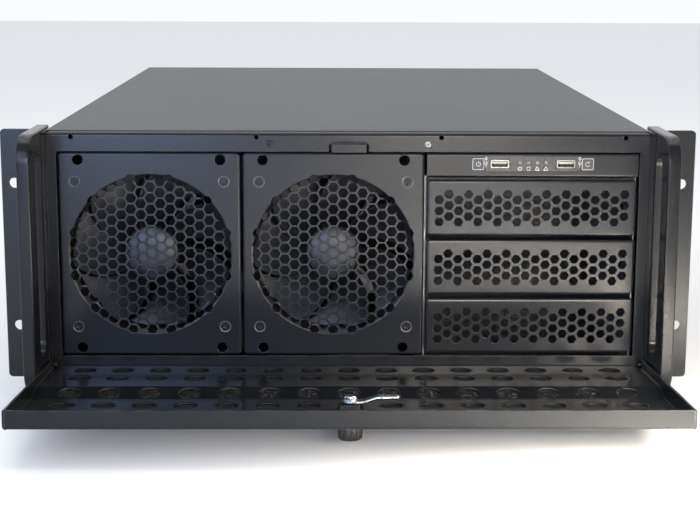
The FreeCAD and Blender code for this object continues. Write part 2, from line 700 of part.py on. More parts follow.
def make_blade(front, back):
    """A swept, twisted blade as a closed skin of flat triangles between three sections."""
    rings = [blade_ring(HUB_R - 1.5, 0.0, front + 3.0, back - 2.0),
             blade_ring((HUB_R + blade_tip_r) / 2, math.radians(8), front + 4.0, back - 5.0),
             blade_ring(blade_tip_r, math.radians(24), front + 6.0, back - 9.0)]
    count = len(rings[0])
    faces = []
    for inner, outer in ((0, 1), (1, 2)):
        for i in range(count):
            k = (i + 1) % count
            faces.append([rings[inner][i], rings[inner][k], rings[outer][k]])
            faces.append([rings[inner][i], rings[outer][k], rings[outer][i]])
    for ring in (rings[0], rings[2]):
        for i in range(1, count - 1):
            faces.append([ring[0], ring[i], ring[i + 1]])
    shell = Part.makeShell([Part.Face(Part.makePolygon(f + [f[0]])) for f in faces])
    blade = Part.makeSolid(shell)
    if blade.Volume < 0:
        blade.reverse()
    return blade


def make_rotor(x):
    front = panel_back + DISH_DEPTH + ROTOR_GAP
    back = panel_back + FAN_DEPTH - STRUT_T - 0.6
    nose = round_wall(0, HUB_R - 2.0, front, HUB_R, front + 2.0)
    drum = round_wall(0, HUB_R, front + 2.0, HUB_R, back)
    nose.translate(vec(0, 0, -fan_z))
    drum.translate(vec(0, 0, -fan_z))
    blade = make_blade(front, back)
    blades = []
    for i in range(BLADES):
        copy = blade.copy()
        copy.rotate(vec(0, 0, 0), vec(0, 1, 0), 360.0 * i / BLADES)
        blades.append(copy)
    rotor = joined(nose, [drum] + blades)
    rotor.translate(vec(x, 0, fan_z))
    return rotor


# ---- drive-bay covers: shallow folded pans with a field of hexagons ---------------------------
PAN_R = 2.0


def make_bay_cover(index):
    top = bay_top - index * bay_pitch
    low = top - BAY_COVER_H
    x0 = bay_left
    x1 = bay_right
    front = panel_front
    back = front + BAY_FLANGE
    section = [(front, low, PAN_R), (front, top, PAN_R), (back, top, 0), (back, top - COVER_T, 0),
               (front + COVER_T, top - COVER_T, 0), (front + COVER_T, low + COVER_T, 0),
               (back, low + COVER_T, 0), (back, low, 0)]
    pan = slab(section, "yz", x0, x1)
    ends = []
    for edge in (x0, x1 - COVER_T):
        ends.append(slab([(front, low, PAN_R), (front, top, PAN_R), (back, top, 0), (back, low, 0)],
                         "yz", edge, edge + COVER_T))
    pan = joined(pan, ends)
    middle = (top + low) / 2
    cutters = []
    for column in range(bay_columns):
        cx = bay_x + (column - (bay_columns - 1) / 2) * bay_step
        rows = BAY_ROWS - column % 2
        for row in range(rows):
            cz = middle + (row - (rows - 1) / 2) * BAY_HEX_PITCH
            cutters.append(prism(cx, cz, BAY_HEX / math.sqrt(3), front - 1, front + COVER_T + 1, 6))
    return cut_all(pan, cutters)


# ---- control strip: pan, buttons, USB ports, lamps and their board ---------------------------
CUT_PLAY = 0.2
SWITCH_T = 2.4
SWITCH_W = 6.0
BOARD_T = 1.6
control_z = (control_low + control_top) / 2 + 1.0


def make_control_panel():
    x0 = bay_left
    x1 = bay_right
    front = panel_front
    back = board_y
    section = [(front, control_low, PAN_R), (front, control_top, PAN_R), (back, control_top, 0),
               (back, control_top - COVER_T, 0), (front + COVER_T, control_top - COVER_T, PAN_R - COVER_T),
               (front + COVER_T, control_low + COVER_T, PAN_R - COVER_T), (back, control_low + COVER_T, 0),
               (back, control_low, 0)]
    pan = slab(section, "yz", x0, x1)
    cuts = []
    for side in (-1, 1):
        half = BUTTON_W / 2 + CUT_PLAY
        x = bay_x + side * BUTTON_X
        cuts.append(block(x - half, x + half, front - 1, front + 3, control_z - half, control_z + half))
        x = bay_x + side * USB_X
        half_w = USB_W / 2 + CUT_PLAY
        half_h = USB_H / 2 + CUT_PLAY
        cuts.append(block(x - half_w, x + half_w, front - 1, front + 3,
                          control_z - half_h, control_z + half_h))
    for i in range(4):
        x = bay_x + (i - 1.5) * LED_PITCH
        cuts.append(prism(x, control_z + 1.0, LED_R + CUT_PLAY, front - 1, front + 3))
    return cut_all(pan, cuts)


def make_button(side):
    half = BUTTON_W / 2
    x = bay_x + side * BUTTON_X
    cap = block(x - half, x + half, panel_front - 0.8, panel_front + 3.0, control_z - half, control_z + half)
    front_edges = [e for e in cap.Edges if e.CenterOfMass.y < panel_front - 0.7]
    cap = cap.makeChamfer(0.6, front_edges)
    stem = prism(x, control_z, 2.0, panel_front + 3.0, board_y - SWITCH_T - BUTTON_TRAVEL - SEAM)
    return joined(cap, [stem])


def make_usb_port(side):
    x = bay_x + side * USB_X
    half_w = USB_W / 2
    half_h = USB_H / 2
    front = panel_front - 0.6
    shell = block(x - half_w, x + half_w, front, board_y, control_z - half_h, control_z + half_h)
    mouth = block(x - half_w + USB_WALL, x + half_w - USB_WALL, front - 1, board_y - 2.0,
                  control_z - half_h + USB_WALL, control_z + half_h - USB_WALL)
    tongue = block(x - half_w + USB_WALL, x + half_w - USB_WALL, front + 1.0, board_y - 1.0,
                   control_z + 0.2, control_z + 2.0)
    return joined(shell.cut(mouth), [tongue])


def make_leds():
    lamps = []
    for i in range(4):
        x = bay_x + (i - 1.5) * LED_PITCH
        lamps.append(prism(x, control_z + 1.0, LED_R, panel_front + 0.1, board_y))
    return Part.makeCompound(lamps)


def make_switches():
    half = SWITCH_W / 2
    bodies = []
    for side in (-1, 1):
        x = bay_x + side * BUTTON_X
        bodies.append(block(x - half, x + half, board_y - SWITCH_T, board_y,
                            control_z - half, control_z + half))
    return Part.makeCompound(bodies)


def make_board():
    half = BUTTON_X + BUTTON_W
    return block(bay_x - half, bay_x + half, board_y, board_y + BOARD_T,
                 control_low + SEAM, control_top - SEAM)


# ---- drive cage: one folded hat section with slots for the drive screws -----------------------
CAGE_T = 1.0
CAGE_FOOT = 6.5


def make_cage():
    x0 = bay_left
    x1 = bay_right
    top = control_low - SEAM
    section = [(x0 - CAGE_FOOT, floor_in, 0), (x0, floor_in, 0), (x0, top - CAGE_T, 0), (x1, top - CAGE_T, 0),
               (x1, floor_in, 0), (x1 + CAGE_FOOT, floor_in, 0), (x1 + CAGE_FOOT, floor_in + CAGE_T, 0),
               (x1 + CAGE_T, floor_in + CAGE_T, 0), (x1 + CAGE_T, top, BEND / 2), (x0 - CAGE_T, top, BEND / 2),
               (x0 - CAGE_T, floor_in + CAGE_T, 0), (x0 - CAGE_FOOT, floor_in + CAGE_T, 0)]
    cage = slab(section, "xz", cage_front, cage_back)
    cuts = []
    for index in range(BAY_COUNT):
        z = bay_top - index * bay_pitch - BAY_COVER_H * 0.7
        for y in (cage_back * 0.35, cage_back * 0.75):
            cuts.append(block(x0 - 5, x1 + 5, y - 9, y + 9, z - 2, z + 2))
    return cut_all(cage, cuts)


# ---- partition: an upright wall behind the fans and the cage, with holes for cables -----------
WALL_BEHIND = 3.2       # behind the drive cage
WALL_FOOT = 10.0
WALL_CLEAR = 2.8        # under the top cover
CABLE_HOLE_W = 46.0
CABLE_HOLE_H = 18.0
CABLE_HOLE_RISE = 12.0
CABLE_HOLE_COUNT = 3


def make_partition():
    y0 = cage_back + WALL_BEHIND
    y1 = y0 + SHEET
    high = cover_under - WALL_CLEAR
    section = [(y0, floor_in, BEND), (y0, high, 0), (y1, high, 0), (y1, floor_in + SHEET, BEND - SHEET),
               (y0 + WALL_FOOT, floor_in + SHEET, 0), (y0 + WALL_FOOT, floor_in, 0)]
    side = wall_in - BEND
    wall = slab(section, "yz", -side, side)
    low = floor_in + CABLE_HOLE_RISE
    cuts = []
    for i in range(CABLE_HOLE_COUNT):
        x = (fan_left_x + fan_right_x) / 2 + (i - 1) * fan_panel_w * 0.7
        cuts.append(block(x - CABLE_HOLE_W / 2, x + CABLE_HOLE_W / 2, y0 - 1, y1 + 1, low, low + CABLE_HOLE_H))
    return cut_all(wall, cuts)


# ---- door: a tray with a sloped step, lips on three sides, vents and hinge ears ---------------
def on_door(u, w):
    """A point of the door, u up from its lower edge and w in from its face, with the door shut."""
    return (DOOR_FACE + w, DOOR_LOW + u)


def door_corner(u, w, radius=0.0):
    y, z = on_door(u, w)
    return (y, z, radius)


def make_door():
    angle = math.atan2(DOOR_STEP, STEP_RUN)
    shift = DOOR_T * math.tan(angle / 2)
    deep = DOOR_STEP + DOOR_T
    lip_r = DOOR_T + 1.0
    section = [door_corner(0, DOOR_STEP), door_corner(0, deep), door_corner(STEP_FROM, deep),
               door_corner(step_to, DOOR_T), door_corner(door_l - DOOR_T, DOOR_T, 1.0),
               door_corner(door_l - DOOR_T, DOOR_LIP), door_corner(door_l, DOOR_LIP),
               door_corner(door_l, 0, lip_r), door_corner(step_to - shift, 0),
               door_corner(STEP_FROM - shift, DOOR_STEP)]
    side_in = door_half - DOOR_T
    floor = slab(section, "yz", -side_in, side_in)
    lip = [door_corner(HINGE_U, DOOR_LIP), door_corner(door_l, DOOR_LIP, 1.0), door_corner(door_l, 0, lip_r),
           door_corner(step_to - shift, 0), door_corner(STEP_FROM - shift, DOOR_STEP),
           door_corner(0.5, DOOR_STEP)]
    lips = []
    for x in (-door_half, side_in):
        lips.append(slab(lip, "yz", x, x + DOOR_T))
        lips.append(rod(vec(x, hinge_y, hinge_z), vec(1, 0, 0), HINGE_EAR_R, DOOR_T))
    door = joined(floor, lips)
    cuts = []
    for u in vent_rows:
        for column in range(VENT_COLUMNS):
            x = (column - (VENT_COLUMNS - 1) / 2) * vent_pitch
            cuts.append(prism(x, DOOR_LOW + u, VENT_R, DOOR_FACE - 1, DOOR_FACE + deep + 1, VENT_SIDES))
    cuts.append(prism(0, lock_z, LOCK_R + SEAM, DOOR_FACE - 1, DOOR_FACE + DOOR_T + 1, LOCK_SIDES))
    room = HINGE_HEAD_R + SEAM
    for side in (-1, 1):
        edge = sorted((side * side_in, side * (side_in - HINGE_HEAD_T - 2 * SEAM)))
        cuts.append(block(edge[0], edge[1], hinge_y - room, hinge_y + room, hinge_z - 2 * room, hinge_z + room))
    for x in (-door_half - 1, side_in - 1):
        cuts.append(rod(vec(x, hinge_y, hinge_z), vec(1, 0, 0), HINGE_R + RUNNING, DOOR_T + 2))
    return cut_all(door, cuts)


def make_door_mesh():
    """The dust mesh, laid on the door's outer side behind all rows of vents and bent with its step."""
    angle = math.atan2(DOOR_STEP, STEP_RUN)
    shift = DOOR_T * math.tan(angle / 2)
    thin = MESH_T * math.tan(angle / 2)
    last = VENT_LAST + VENT_R + MESH_PAST
    strip = [door_corner(MESH_FROM, DOOR_STEP), door_corner(STEP_FROM - shift, DOOR_STEP),
             door_corner(step_to - shift, 0), door_corner(last, 0), door_corner(last, -MESH_T),
             door_corner(step_to - shift - thin, -MESH_T),
             door_corner(STEP_FROM - shift - thin, DOOR_STEP - MESH_T),
             door_corner(MESH_FROM, DOOR_STEP - MESH_T)]
    reach = (VENT_COLUMNS / 2) * vent_pitch
    return slab(strip, "yz", -reach, reach)


def make_hinge_pin():
    """A shoulder rivet: through the body's side wall and the ear of the door's lip."""
    lip_in = door_half - DOOR_T
    start = lip_in - SEAM - HINGE_HEAD_T
    axis = vec(1, 0, 0)
    inner = across(start, start + HINGE_HEAD_T, hinge_y, hinge_z, HINGE_HEAD_R, 10)
    shaft = rod(vec(start + HINGE_HEAD_T, hinge_y, hinge_z), axis, HINGE_R, wall_out - start - HINGE_HEAD_T)
    outer = across(wall_out, wall_out + HINGE_HEAD_T, hinge_y, hinge_z, HINGE_HEAD_R, 10)
    return joined(shaft, [inner, outer])


# ---- cam lock in the door --------------------------------------------------------------------
BARREL_END = 7.4
NUT_T = 2.6
NUT_R = 10.5
CAM_NUT_R = 4.2
CAM_NUT_T = 2.8
CAM_PLAY = 0.2
SPINDLE_SIDES = 8
cam_front = DOOR_FACE + BARREL_END + CAM_PLAY
spindle_hole = (SPINDLE_R + RUNNING) / math.cos(math.pi / SPINDLE_SIDES)


def make_lock_body():
    y0 = DOOR_FACE
    flange = prism(0, lock_z, LOCK_FLANGE_R, y0 - LOCK_FLANGE_T, y0, LOCK_SIDES)
    barrel = prism(0, lock_z, LOCK_R, y0, y0 + BARREL_END, LOCK_SIDES)
    bore = rod(vec(0, y0 - LOCK_FLANGE_T - 1, lock_z), vec(0, 1, 0), SPINDLE_R + RUNNING,
               LOCK_FLANGE_T + BARREL_END + 2)
    return joined(flange, [barrel]).cut(bore)


def make_lock_nut():
    y0 = DOOR_FACE + DOOR_T
    nut = prism(0, lock_z, NUT_R, y0, y0 + NUT_T, 6)
    return nut.cut(prism(0, lock_z, LOCK_R + RUNNING, y0 - 1, y0 + NUT_T + 1, LOCK_SIDES))


def make_knob():
    """The turning knob: a grooved grip and the spindle that carries the cam."""
    end = DOOR_FACE - KNOB_END
    seat = DOOR_FACE - LOCK_FLANGE_T - SEAM
    grip = prism(0, lock_z, KNOB_R, end, seat, LOCK_SIDES)
    grooves = []
    for i in range(KNOB_GROOVES):
        angle = 2 * math.pi * (i + 0.5) / KNOB_GROOVES
        x = (KNOB_R + 0.6) * math.cos(angle)
        z = lock_z + (KNOB_R + 0.6) * math.sin(angle)
        grooves.append(prism(x, z, 1.5, end - 1, seat - 2.0, 4, angle))
    tail = cam_front + CAM_T + CAM_NUT_T
    spindle = rod(vec(0, seat, lock_z), vec(0, 1, 0), SPINDLE_R, tail - seat)
    return joined(cut_all(grip, grooves), [spindle])


def make_cam():
    """A flat zinc arm with an S bend that lifts its tip; it points to the right while unlocked."""
    y0 = cam_front
    section = [(-CAM_W / 2, y0, 0), (CAM_W * 0.8, y0, 2.0), (CAM_L * 0.6, y0 + CAM_RISE, 2.0),
               (CAM_L, y0 + CAM_RISE, 0), (CAM_L, y0 + CAM_RISE + CAM_T, 0),
               (CAM_L * 0.6 - 1.0, y0 + CAM_RISE + CAM_T, 2.0), (CAM_W * 0.8 - 1.0, y0 + CAM_T, 2.0),
               (-CAM_W / 2, y0 + CAM_T, 0)]
    arm = slab(section, "xy", lock_z - CAM_W / 2, lock_z + CAM_W / 2)
    plan = slab([(-CAM_W / 2, lock_z - CAM_W / 2, CAM_W * 0.3), (CAM_L, lock_z - CAM_W / 2, 2.0),
                 (CAM_L, lock_z + CAM_W / 2, 2.0), (-CAM_W / 2, lock_z + CAM_W / 2, CAM_W * 0.3)],
                "xz", y0 - 1, y0 + CAM_RISE + CAM_T + 1)
    arm = arm.common(plan)
    return arm.cut(prism(0, lock_z, spindle_hole, y0 - 1, y0 + CAM_T + 1, SPINDLE_SIDES))


def make_cam_nut():
    y0 = cam_front + CAM_T
    nut = prism(0, lock_z, CAM_NUT_R, y0, y0 + CAM_NUT_T, 6)
    return nut.cut(prism(0, lock_z, spindle_hole, y0 - 1, y0 + CAM_NUT_T + 1, SPINDLE_SIDES))


# ---- rear panel with board opening, card slots, supply opening and two fan grilles ------------
REAR_FLANGE = 12.0
SLOT_COVER_T = 0.9
SLOT_COVER_GAP = 1.92   # between two covers
SLOT_TAB = 11.0
SLOT_COVER_LAP = 3.0    # cover past the slot's lower end
SLOT_COVER_OVER = 4.0   # and over its upper end
FAN_HOLE_IN = 1.25
FAN_HOLE_R = 2.2
fan_hole_half = rear_fan_r - FAN_HOLE_IN
PSU_HOLE_R = 2.0
PSU_HOLE_OUT = 2.8
rear_front = BODY_BACK - SHEET


def slot_x(index):
    return slot_first_x - index * slot_pitch


def make_rear_panel():
    top = wall_top
    low = floor_in
    start = rear_front - REAR_FLANGE
    section = [(BODY_BACK, low, BEND), (BODY_BACK, top, BEND), (start, top, 0), (start, top - SHEET, 0),
               (rear_front, top - SHEET, BEND - SHEET), (rear_front, low + SHEET, BEND - SHEET),
               (start, low + SHEET, 0), (start, low, 0)]
    panel = slab(section, "yz", -wall_in, wall_in)
    sides = []
    for side in (-1, 1):
        edge = sorted((side * wall_in, side * (wall_in - SHEET)))
        sides.append(block(edge[0], edge[1], start, rear_front, low + BEND, top - BEND))
    panel = joined(panel, sides)
    y0 = rear_front - 1
    y1 = BODY_BACK + 1
    cuts = corner_reliefs(start - 1, y1)
    cuts.append(block(io_left, io_left + IO_W, y0, y1, REAR_LOW, REAR_LOW + IO_H))
    cuts.append(block(psu_left, psu_left + PSU_W, y0, y1, REAR_LOW, REAR_LOW + PSU_H))
    for index in range(SLOT_COUNT):
        x = slot_x(index)
        cuts.append(block(x - slot_w / 2, x + slot_w / 2, y0, y1, REAR_LOW, slot_high))
    for x in (rear_fan_x, rear_fan_x + rear_fan_pitch):
        cuts.extend(rear_grille(x, y0, y1))
    for x in (psu_left - PSU_HOLE_OUT, psu_left + PSU_W + PSU_HOLE_OUT):
        for z in (REAR_LOW + 8.0, REAR_LOW + PSU_H - 8.0):
            cuts.append(prism(x, z, PSU_HOLE_R, y0, y1))
    return cut_all(panel, cuts)


def rear_grille(x, y0, y1):
    """Upright slots whose lengths follow a circle, and the four holes of an 80 mm fan."""
    cutters = []
    count = int(rear_fan_r / REAR_SLOT_PITCH)
    for i in range(-count, count + 1):
        reach = math.sqrt(rear_fan_r ** 2 - (abs(i) * REAR_SLOT_PITCH) ** 2)
        middle = x + i * REAR_SLOT_PITCH
        cutters.append(block(middle - REAR_SLOT_W / 2, middle + REAR_SLOT_W / 2, y0, y1,
                             rear_fan_z - reach, rear_fan_z + reach))
    for i in (-1, 1):
        for k in (-1, 1):
            cutters.append(prism(x + i * fan_hole_half, rear_fan_z + k * fan_hole_half, FAN_HOLE_R, y0, y1))
    return cutters


def make_slot_cover(index):
    """A blank card bracket: a strip behind its slot with a tab folded forward under its screw."""
    x = slot_x(index)
    half = (slot_pitch - SLOT_COVER_GAP) / 2
    back = rear_front
    low = REAR_LOW - SLOT_COVER_LAP
    high = slot_high + SLOT_COVER_OVER
    inner = back - SLOT_COVER_T
    section = [(back, low, 0), (back, high, SLOT_COVER_T * 1.5), (back - SLOT_TAB, high, 0),
               (back - SLOT_TAB, high - SLOT_COVER_T, 0), (inner, high - SLOT_COVER_T, 0), (inner, low, 0)]
    return slab(section, "yz", x - half, x + half)


def make_card_bar():
    """A folded channel across the body that steadies long cards."""
    half = wall_in - SEAM
    low = wall_top - CARD_BAR_DROP - CARD_BAR_H
    high = low + CARD_BAR_H
    y0 = CARD_BAR_Y - CARD_BAR_W / 2
    y1 = CARD_BAR_Y + CARD_BAR_W / 2
    section = [(y0, low, 0), (y1, low, 0), (y1, high, 0), (y1 - SHEET, high, 0), (y1 - SHEET, low + SHEET, 0),
               (y0 + SHEET, low + SHEET, 0), (y0 + SHEET, high, 0), (y0, high, 0)]
    return slab(section, "yz", -half, half)


def make_standoffs():
    """Hexagonal pillars in the floor that carry the main board."""
    pillars = []
    corners = []
    for k in range(7):
        angle = math.pi * k / 3
        corners.append(vec(STANDOFF_R * math.cos(angle), STANDOFF_R * math.sin(angle), floor_in))
    pillar = Part.Face(Part.makePolygon(corners)).extrude(vec(0, 0, STANDOFF_H))
    for x in (board_left, board_left + (board_right - board_left) * BOARD_MIDDLE, board_right):
        for y in BOARD_HOLE_Y:
            post = pillar.copy()
            post.translate(vec(x, rear_front - y, 0))
            pillars.append(post)
    return Part.makeCompound(pillars)


# ---- write every piece -----------------------------------------------------------------------
os.makedirs("parts", exist_ok=True)

ear = make_ear()
save("ear_right", ear)
save("ear_left", mirror(ear))
handle = make_handle()
save("handle_right", handle)
save("handle_left", mirror(handle))
save("handle_screws", make_handle_screws())
save("ear_screws", make_ear_screws())
save("chassis_tray", make_tray())
save("top_cover", make_cover())
save("cover_screws", make_cover_screws())
save("front_panel", make_front_panel())
save("strip_screws", make_strip_screws())
for side, x in (("left", fan_left_x), ("right", fan_right_x)):
    save("fan_panel_" + side, make_fan_panel(x))
    save("fan_screws_" + side, make_fan_screws(x))
    save("fan_frame_" + side, make_fan_frame(x))
    save("fan_rotor_" + side, make_rotor(x))
for index in range(BAY_COUNT):
    save("bay_cover_" + str(index + 1), make_bay_cover(index))
save("control_panel", make_control_panel())
save("power_button", make_button(-1))
save("reset_button", make_button(1))
save("usb_port_left", make_usb_port(-1))
save("usb_port_right", make_usb_port(1))
save("status_lamps", make_leds())
save("button_switches", make_switches())
save("control_board", make_board())
save("drive_cage", make_cage())
save("partition", make_partition())
save("door", opened(make_door()))
save("door_mesh", opened(make_door_mesh()))
pin = make_hinge_pin()
save("hinge_pin_right", pin)
save("hinge_pin_left", mirror(pin))
save("lock_body", opened(make_lock_body()))
save("lock_nut", opened(make_lock_nut()))
save("lock_knob", opened(make_knob()))
save("lock_cam", opened(make_cam()))
save("lock_cam_nut", opened(make_cam_nut()))
save("rear_panel", make_rear_panel())
for index in range(SLOT_COUNT):
    save("slot_cover_" + str(index + 1), make_slot_cover(index))
save("card_bar", make_card_bar())
save("board_standoffs", make_standoffs())
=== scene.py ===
import bpy
import json
import math
import numpy as np
from mathutils import Matrix, Vector, geometry


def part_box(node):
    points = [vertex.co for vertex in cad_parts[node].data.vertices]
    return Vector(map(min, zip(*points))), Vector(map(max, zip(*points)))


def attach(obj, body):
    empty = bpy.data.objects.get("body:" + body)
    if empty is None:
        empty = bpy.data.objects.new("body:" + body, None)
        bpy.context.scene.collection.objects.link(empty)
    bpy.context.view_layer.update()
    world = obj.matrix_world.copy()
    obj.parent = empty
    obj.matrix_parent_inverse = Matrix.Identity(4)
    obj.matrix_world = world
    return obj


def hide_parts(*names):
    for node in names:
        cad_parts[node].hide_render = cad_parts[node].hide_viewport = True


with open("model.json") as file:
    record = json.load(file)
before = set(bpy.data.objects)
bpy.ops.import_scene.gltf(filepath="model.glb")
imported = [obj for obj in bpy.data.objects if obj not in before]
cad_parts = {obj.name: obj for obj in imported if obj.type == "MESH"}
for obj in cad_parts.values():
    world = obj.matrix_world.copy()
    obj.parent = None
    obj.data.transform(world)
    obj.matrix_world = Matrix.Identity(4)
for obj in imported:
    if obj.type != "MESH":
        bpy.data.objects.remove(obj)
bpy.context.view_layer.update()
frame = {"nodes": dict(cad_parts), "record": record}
nodes = frame["nodes"]

# ---- Studio ----------------------------------------------------------------------------------
# A pale seamless floor and a low pale plinth that carries the body, so that the open door's knob
# clears the floor. Soft boxes: cool at the left, warm at the right, two low ones whose patches on
# the floor the coat mirrors, one overhead. The sky is a little greyer in front of the case.
MM = 0.001


def linear(hex_colour):
    """sRGB hex to linear RGBA: the sRGB curve's inverse, channel by channel."""
    value = np.array([int(hex_colour[i:i + 2], 16) for i in (1, 3, 5)]) / 255.0
    low = value / 12.92
    high = ((value + 0.055) / 1.055) ** 2.4
    return (*np.where(value <= 0.04045, low, high).tolist(), 1.0)


def add(material, kind, settings=None, links=None):
    """One node with its settings, and links given as {its input: (other node, output)}."""
    tree = material.node_tree
    node = tree.nodes.new(kind)
    for key, value in (settings or {}).items():
        if key in node.inputs.keys() or isinstance(key, int):
            node.inputs[key].default_value = value
        else:
            setattr(node, key, value)
    for key, (other, output) in (links or {}).items():
        tree.links.new(other.outputs[output], node.inputs[key])
    return node


def blank_material(name):
    """An empty node material with its output, ready for one surface shader."""
    material = bpy.data.materials.new(name)
    material.use_nodes = True
    material.node_tree.nodes.clear()
    return material


def mesh_piece(name, points, faces, material, body, smooth=False):
    """Points in millimetres (n, 3) and a list of faces become a piece that rides on a body."""
    mesh = bpy.data.meshes.new(name)
    mesh.from_pydata((np.asarray(points) * MM).tolist(), [], faces)
    mesh.materials.append(material)
    mesh.polygons.foreach_set("use_smooth", np.full(len(mesh.polygons), smooth))
    mesh.validate()
    mesh.update()
    piece = bpy.data.objects.new(name, mesh)
    bpy.context.scene.collection.objects.link(piece)
    if body:
        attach(piece, body)
    return piece


def grid_faces(rows, columns, wrap_rows=False, wrap_columns=False, start=0, flip=False):
    """Quads between neighbouring points of a rows by columns grid numbered row by row."""
    last_row = rows if wrap_rows else rows - 1
    last_column = columns if wrap_columns else columns - 1
    i, k = np.meshgrid(np.arange(last_row), np.arange(last_column), indexing="ij")
    i, k = i.ravel(), k.ravel()
    i2, k2 = (i + 1) % rows, (k + 1) % columns
    quads = np.stack([i * columns + k, i * columns + k2, i2 * columns + k2, i2 * columns + k], 1)
    return ((quads[:, ::-1] if flip else quads) + start).tolist()


def box_mm(name):
    """A CAD node's lowest and highest corners and its middle, in millimetres."""
    low, high = (np.array(corner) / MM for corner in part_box(name))
    return low, high, (low + high) / 2


def settle(piece, node=None, crease=None):
    """Hides the CAD node a piece stands in for, and marks the piece's edges sharp past a crease angle in
    degrees.
    """
    if crease:
        piece.data.set_sharp_from_angle(angle=math.radians(crease))
    if node:
        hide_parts(node)
    return piece


FLOOR_Z = -101.0
FLOOR_HALF = 6000.0
PLINTH_TOP = float(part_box("chassis_tray")[0].z) / MM
PLINTH_HALF, PLINTH_FRONT, PLINTH_BACK = 205.0, 30, 600
backdrop = blank_material("matt_white_card")
card = add(backdrop, "ShaderNodeBsdfPrincipled", {"Base Color": linear("#f4f4f2"), "Roughness": 0.9})
add(backdrop, "ShaderNodeOutputMaterial", links={"Surface": (card, 0)})
span = np.linspace(-FLOOR_HALF, FLOOR_HALF, 5)
gx, gy = np.meshgrid(span, span, indexing="ij")
floor = mesh_piece("floor", np.stack([gx.ravel(), gy.ravel(), np.full(25, FLOOR_Z)], 1),
                   grid_faces(5, 5, flip=True), backdrop, None)
plinth_plan = [(-1, PLINTH_FRONT), (1, PLINTH_FRONT), (1, PLINTH_BACK), (-1, PLINTH_BACK)]
plinth_levels = (FLOOR_Z + 0.1, PLINTH_TOP - 0.3)
corners = np.array([[sign * PLINTH_HALF, y, z] for z in plinth_levels for sign, y in plinth_plan])
plinth_faces = [[4, 5, 6, 7], [0, 1, 5, 4], [1, 2, 6, 5], [2, 3, 7, 6], [3, 0, 4, 7]]
plinth = mesh_piece("plinth", corners, plinth_faces, backdrop, None)

world = bpy.data.worlds.new("studio")
bpy.context.scene.world = world
bpy.context.scene.view_settings.view_transform = "Standard"
world.use_nodes = True
sky = world.node_tree.nodes["Background"]
sky.inputs["Strength"].default_value = 1.0
way = add(world, "ShaderNodeTexCoord")
parts_of = add(world, "ShaderNodeSeparateXYZ", links={0: (way, "Generated")})
soft = {"interpolation_type": "SMOOTHSTEP"}
across = add(world, "ShaderNodeMapRange", {**soft, "From Min": -0.30, "From Max": 0.30},
             {"Value": (parts_of, 0)})
ahead = add(world, "ShaderNodeMapRange", {**soft, "From Min": 0.05, "From Max": -0.35},
            {"Value": (parts_of, 1)})
front_tone = add(world, "ShaderNodeMix", {"data_type": "RGBA", 6: linear("#d9e4f6"), 7: linear("#bcbdc2")},
                 {0: (across, 0)})
sky_tone = add(world, "ShaderNodeMix", {"data_type": "RGBA", 6: linear("#fbfcff")},
               {0: (ahead, 0), 7: (front_tone, 2)})
world.node_tree.links.new(sky_tone.outputs[2], sky.inputs["Color"])


def soft_light(name, place, aim, size, power, hex_colour):
    """A rectangular soft box aimed at a point; places and sizes in millimetres."""
    lamp = bpy.data.lights.new(name, "AREA")
    lamp.shape = "RECTANGLE"
    lamp.size, lamp.size_y = size[0] * MM, size[1] * MM
    lamp.energy = power
    lamp.color = linear(hex_colour)[:3]
    holder = bpy.data.objects.new(name, lamp)
    bpy.context.scene.collection.objects.link(holder)
    holder.location = Vector(place) * MM
    holder.rotation_euler = (Vector(aim) - Vector(place)).to_track_quat("-Z", "Y").to_euler()
    return holder


soft_light("soft_box_right", (150, -1160, 120), (50, 0, 0), (230, 260), 4.2, "#fff3e4")
soft_light("soft_box_left", (-330, -1160, 120), (-120, 0, 0), (300, 260), 4.2, "#b0cbff")
soft_light("soft_box_fill", (-760, -1000, 340), (-150, 0, 0), (620, 620), 5.0, "#d5e3ff")
soft_light("soft_box_low", (240, -290, 0), (240, -289, -101), (100, 200), 4.3, "#fff3e4")
soft_light("soft_box_floor", (150, -600, 30), (150, -599, -101), (140, 360), 3.6, "#fffaf4")
soft_light("soft_box_top", (0, 300, 1500), (0, 200, 0), (1600, 1200), 10.0, "#ffffff")

SENSOR_MM, LENS_MM, SHIFT = 36.0, 75.96, (-0.0102857, -0.0457143)
EYE = Vector((-10.7, -1018.5, 207.2)) * MM
TILT, YAW, ROLL = math.radians(10.45), math.radians(0.93), math.radians(0.264)
forward = Vector((math.sin(YAW) * math.cos(TILT), math.cos(YAW) * math.cos(TILT), -math.sin(TILT)))
right = Vector((math.cos(YAW), -math.sin(YAW), 0.0))
above = right.cross(forward)
side_axis = right * math.cos(ROLL) + above * math.sin(ROLL)
up_axis = above * math.cos(ROLL) - right * math.sin(ROLL)
camera_data = bpy.data.cameras.new("camera")
camera_data.sensor_width = SENSOR_MM
camera_data.lens = LENS_MM
camera_data.shift_x, camera_data.shift_y = SHIFT
camera = bpy.data.objects.new("camera", camera_data)
bpy.context.scene.collection.objects.link(camera)
camera.matrix_world = Matrix.Translation(EYE) @ Matrix((side_axis, up_axis, -forward)).transposed().to_4x4()
bpy.context.scene.camera = camera

# ---- Body tray, cover, panels and ears: powder-coated steel ------------------------------------
# Folded cold-rolled sheet, sprayed with a fine-texture black polyester powder and baked. The
# coat has a low sheen and a faint orange peel, a little thinner and greyer along cut edges.


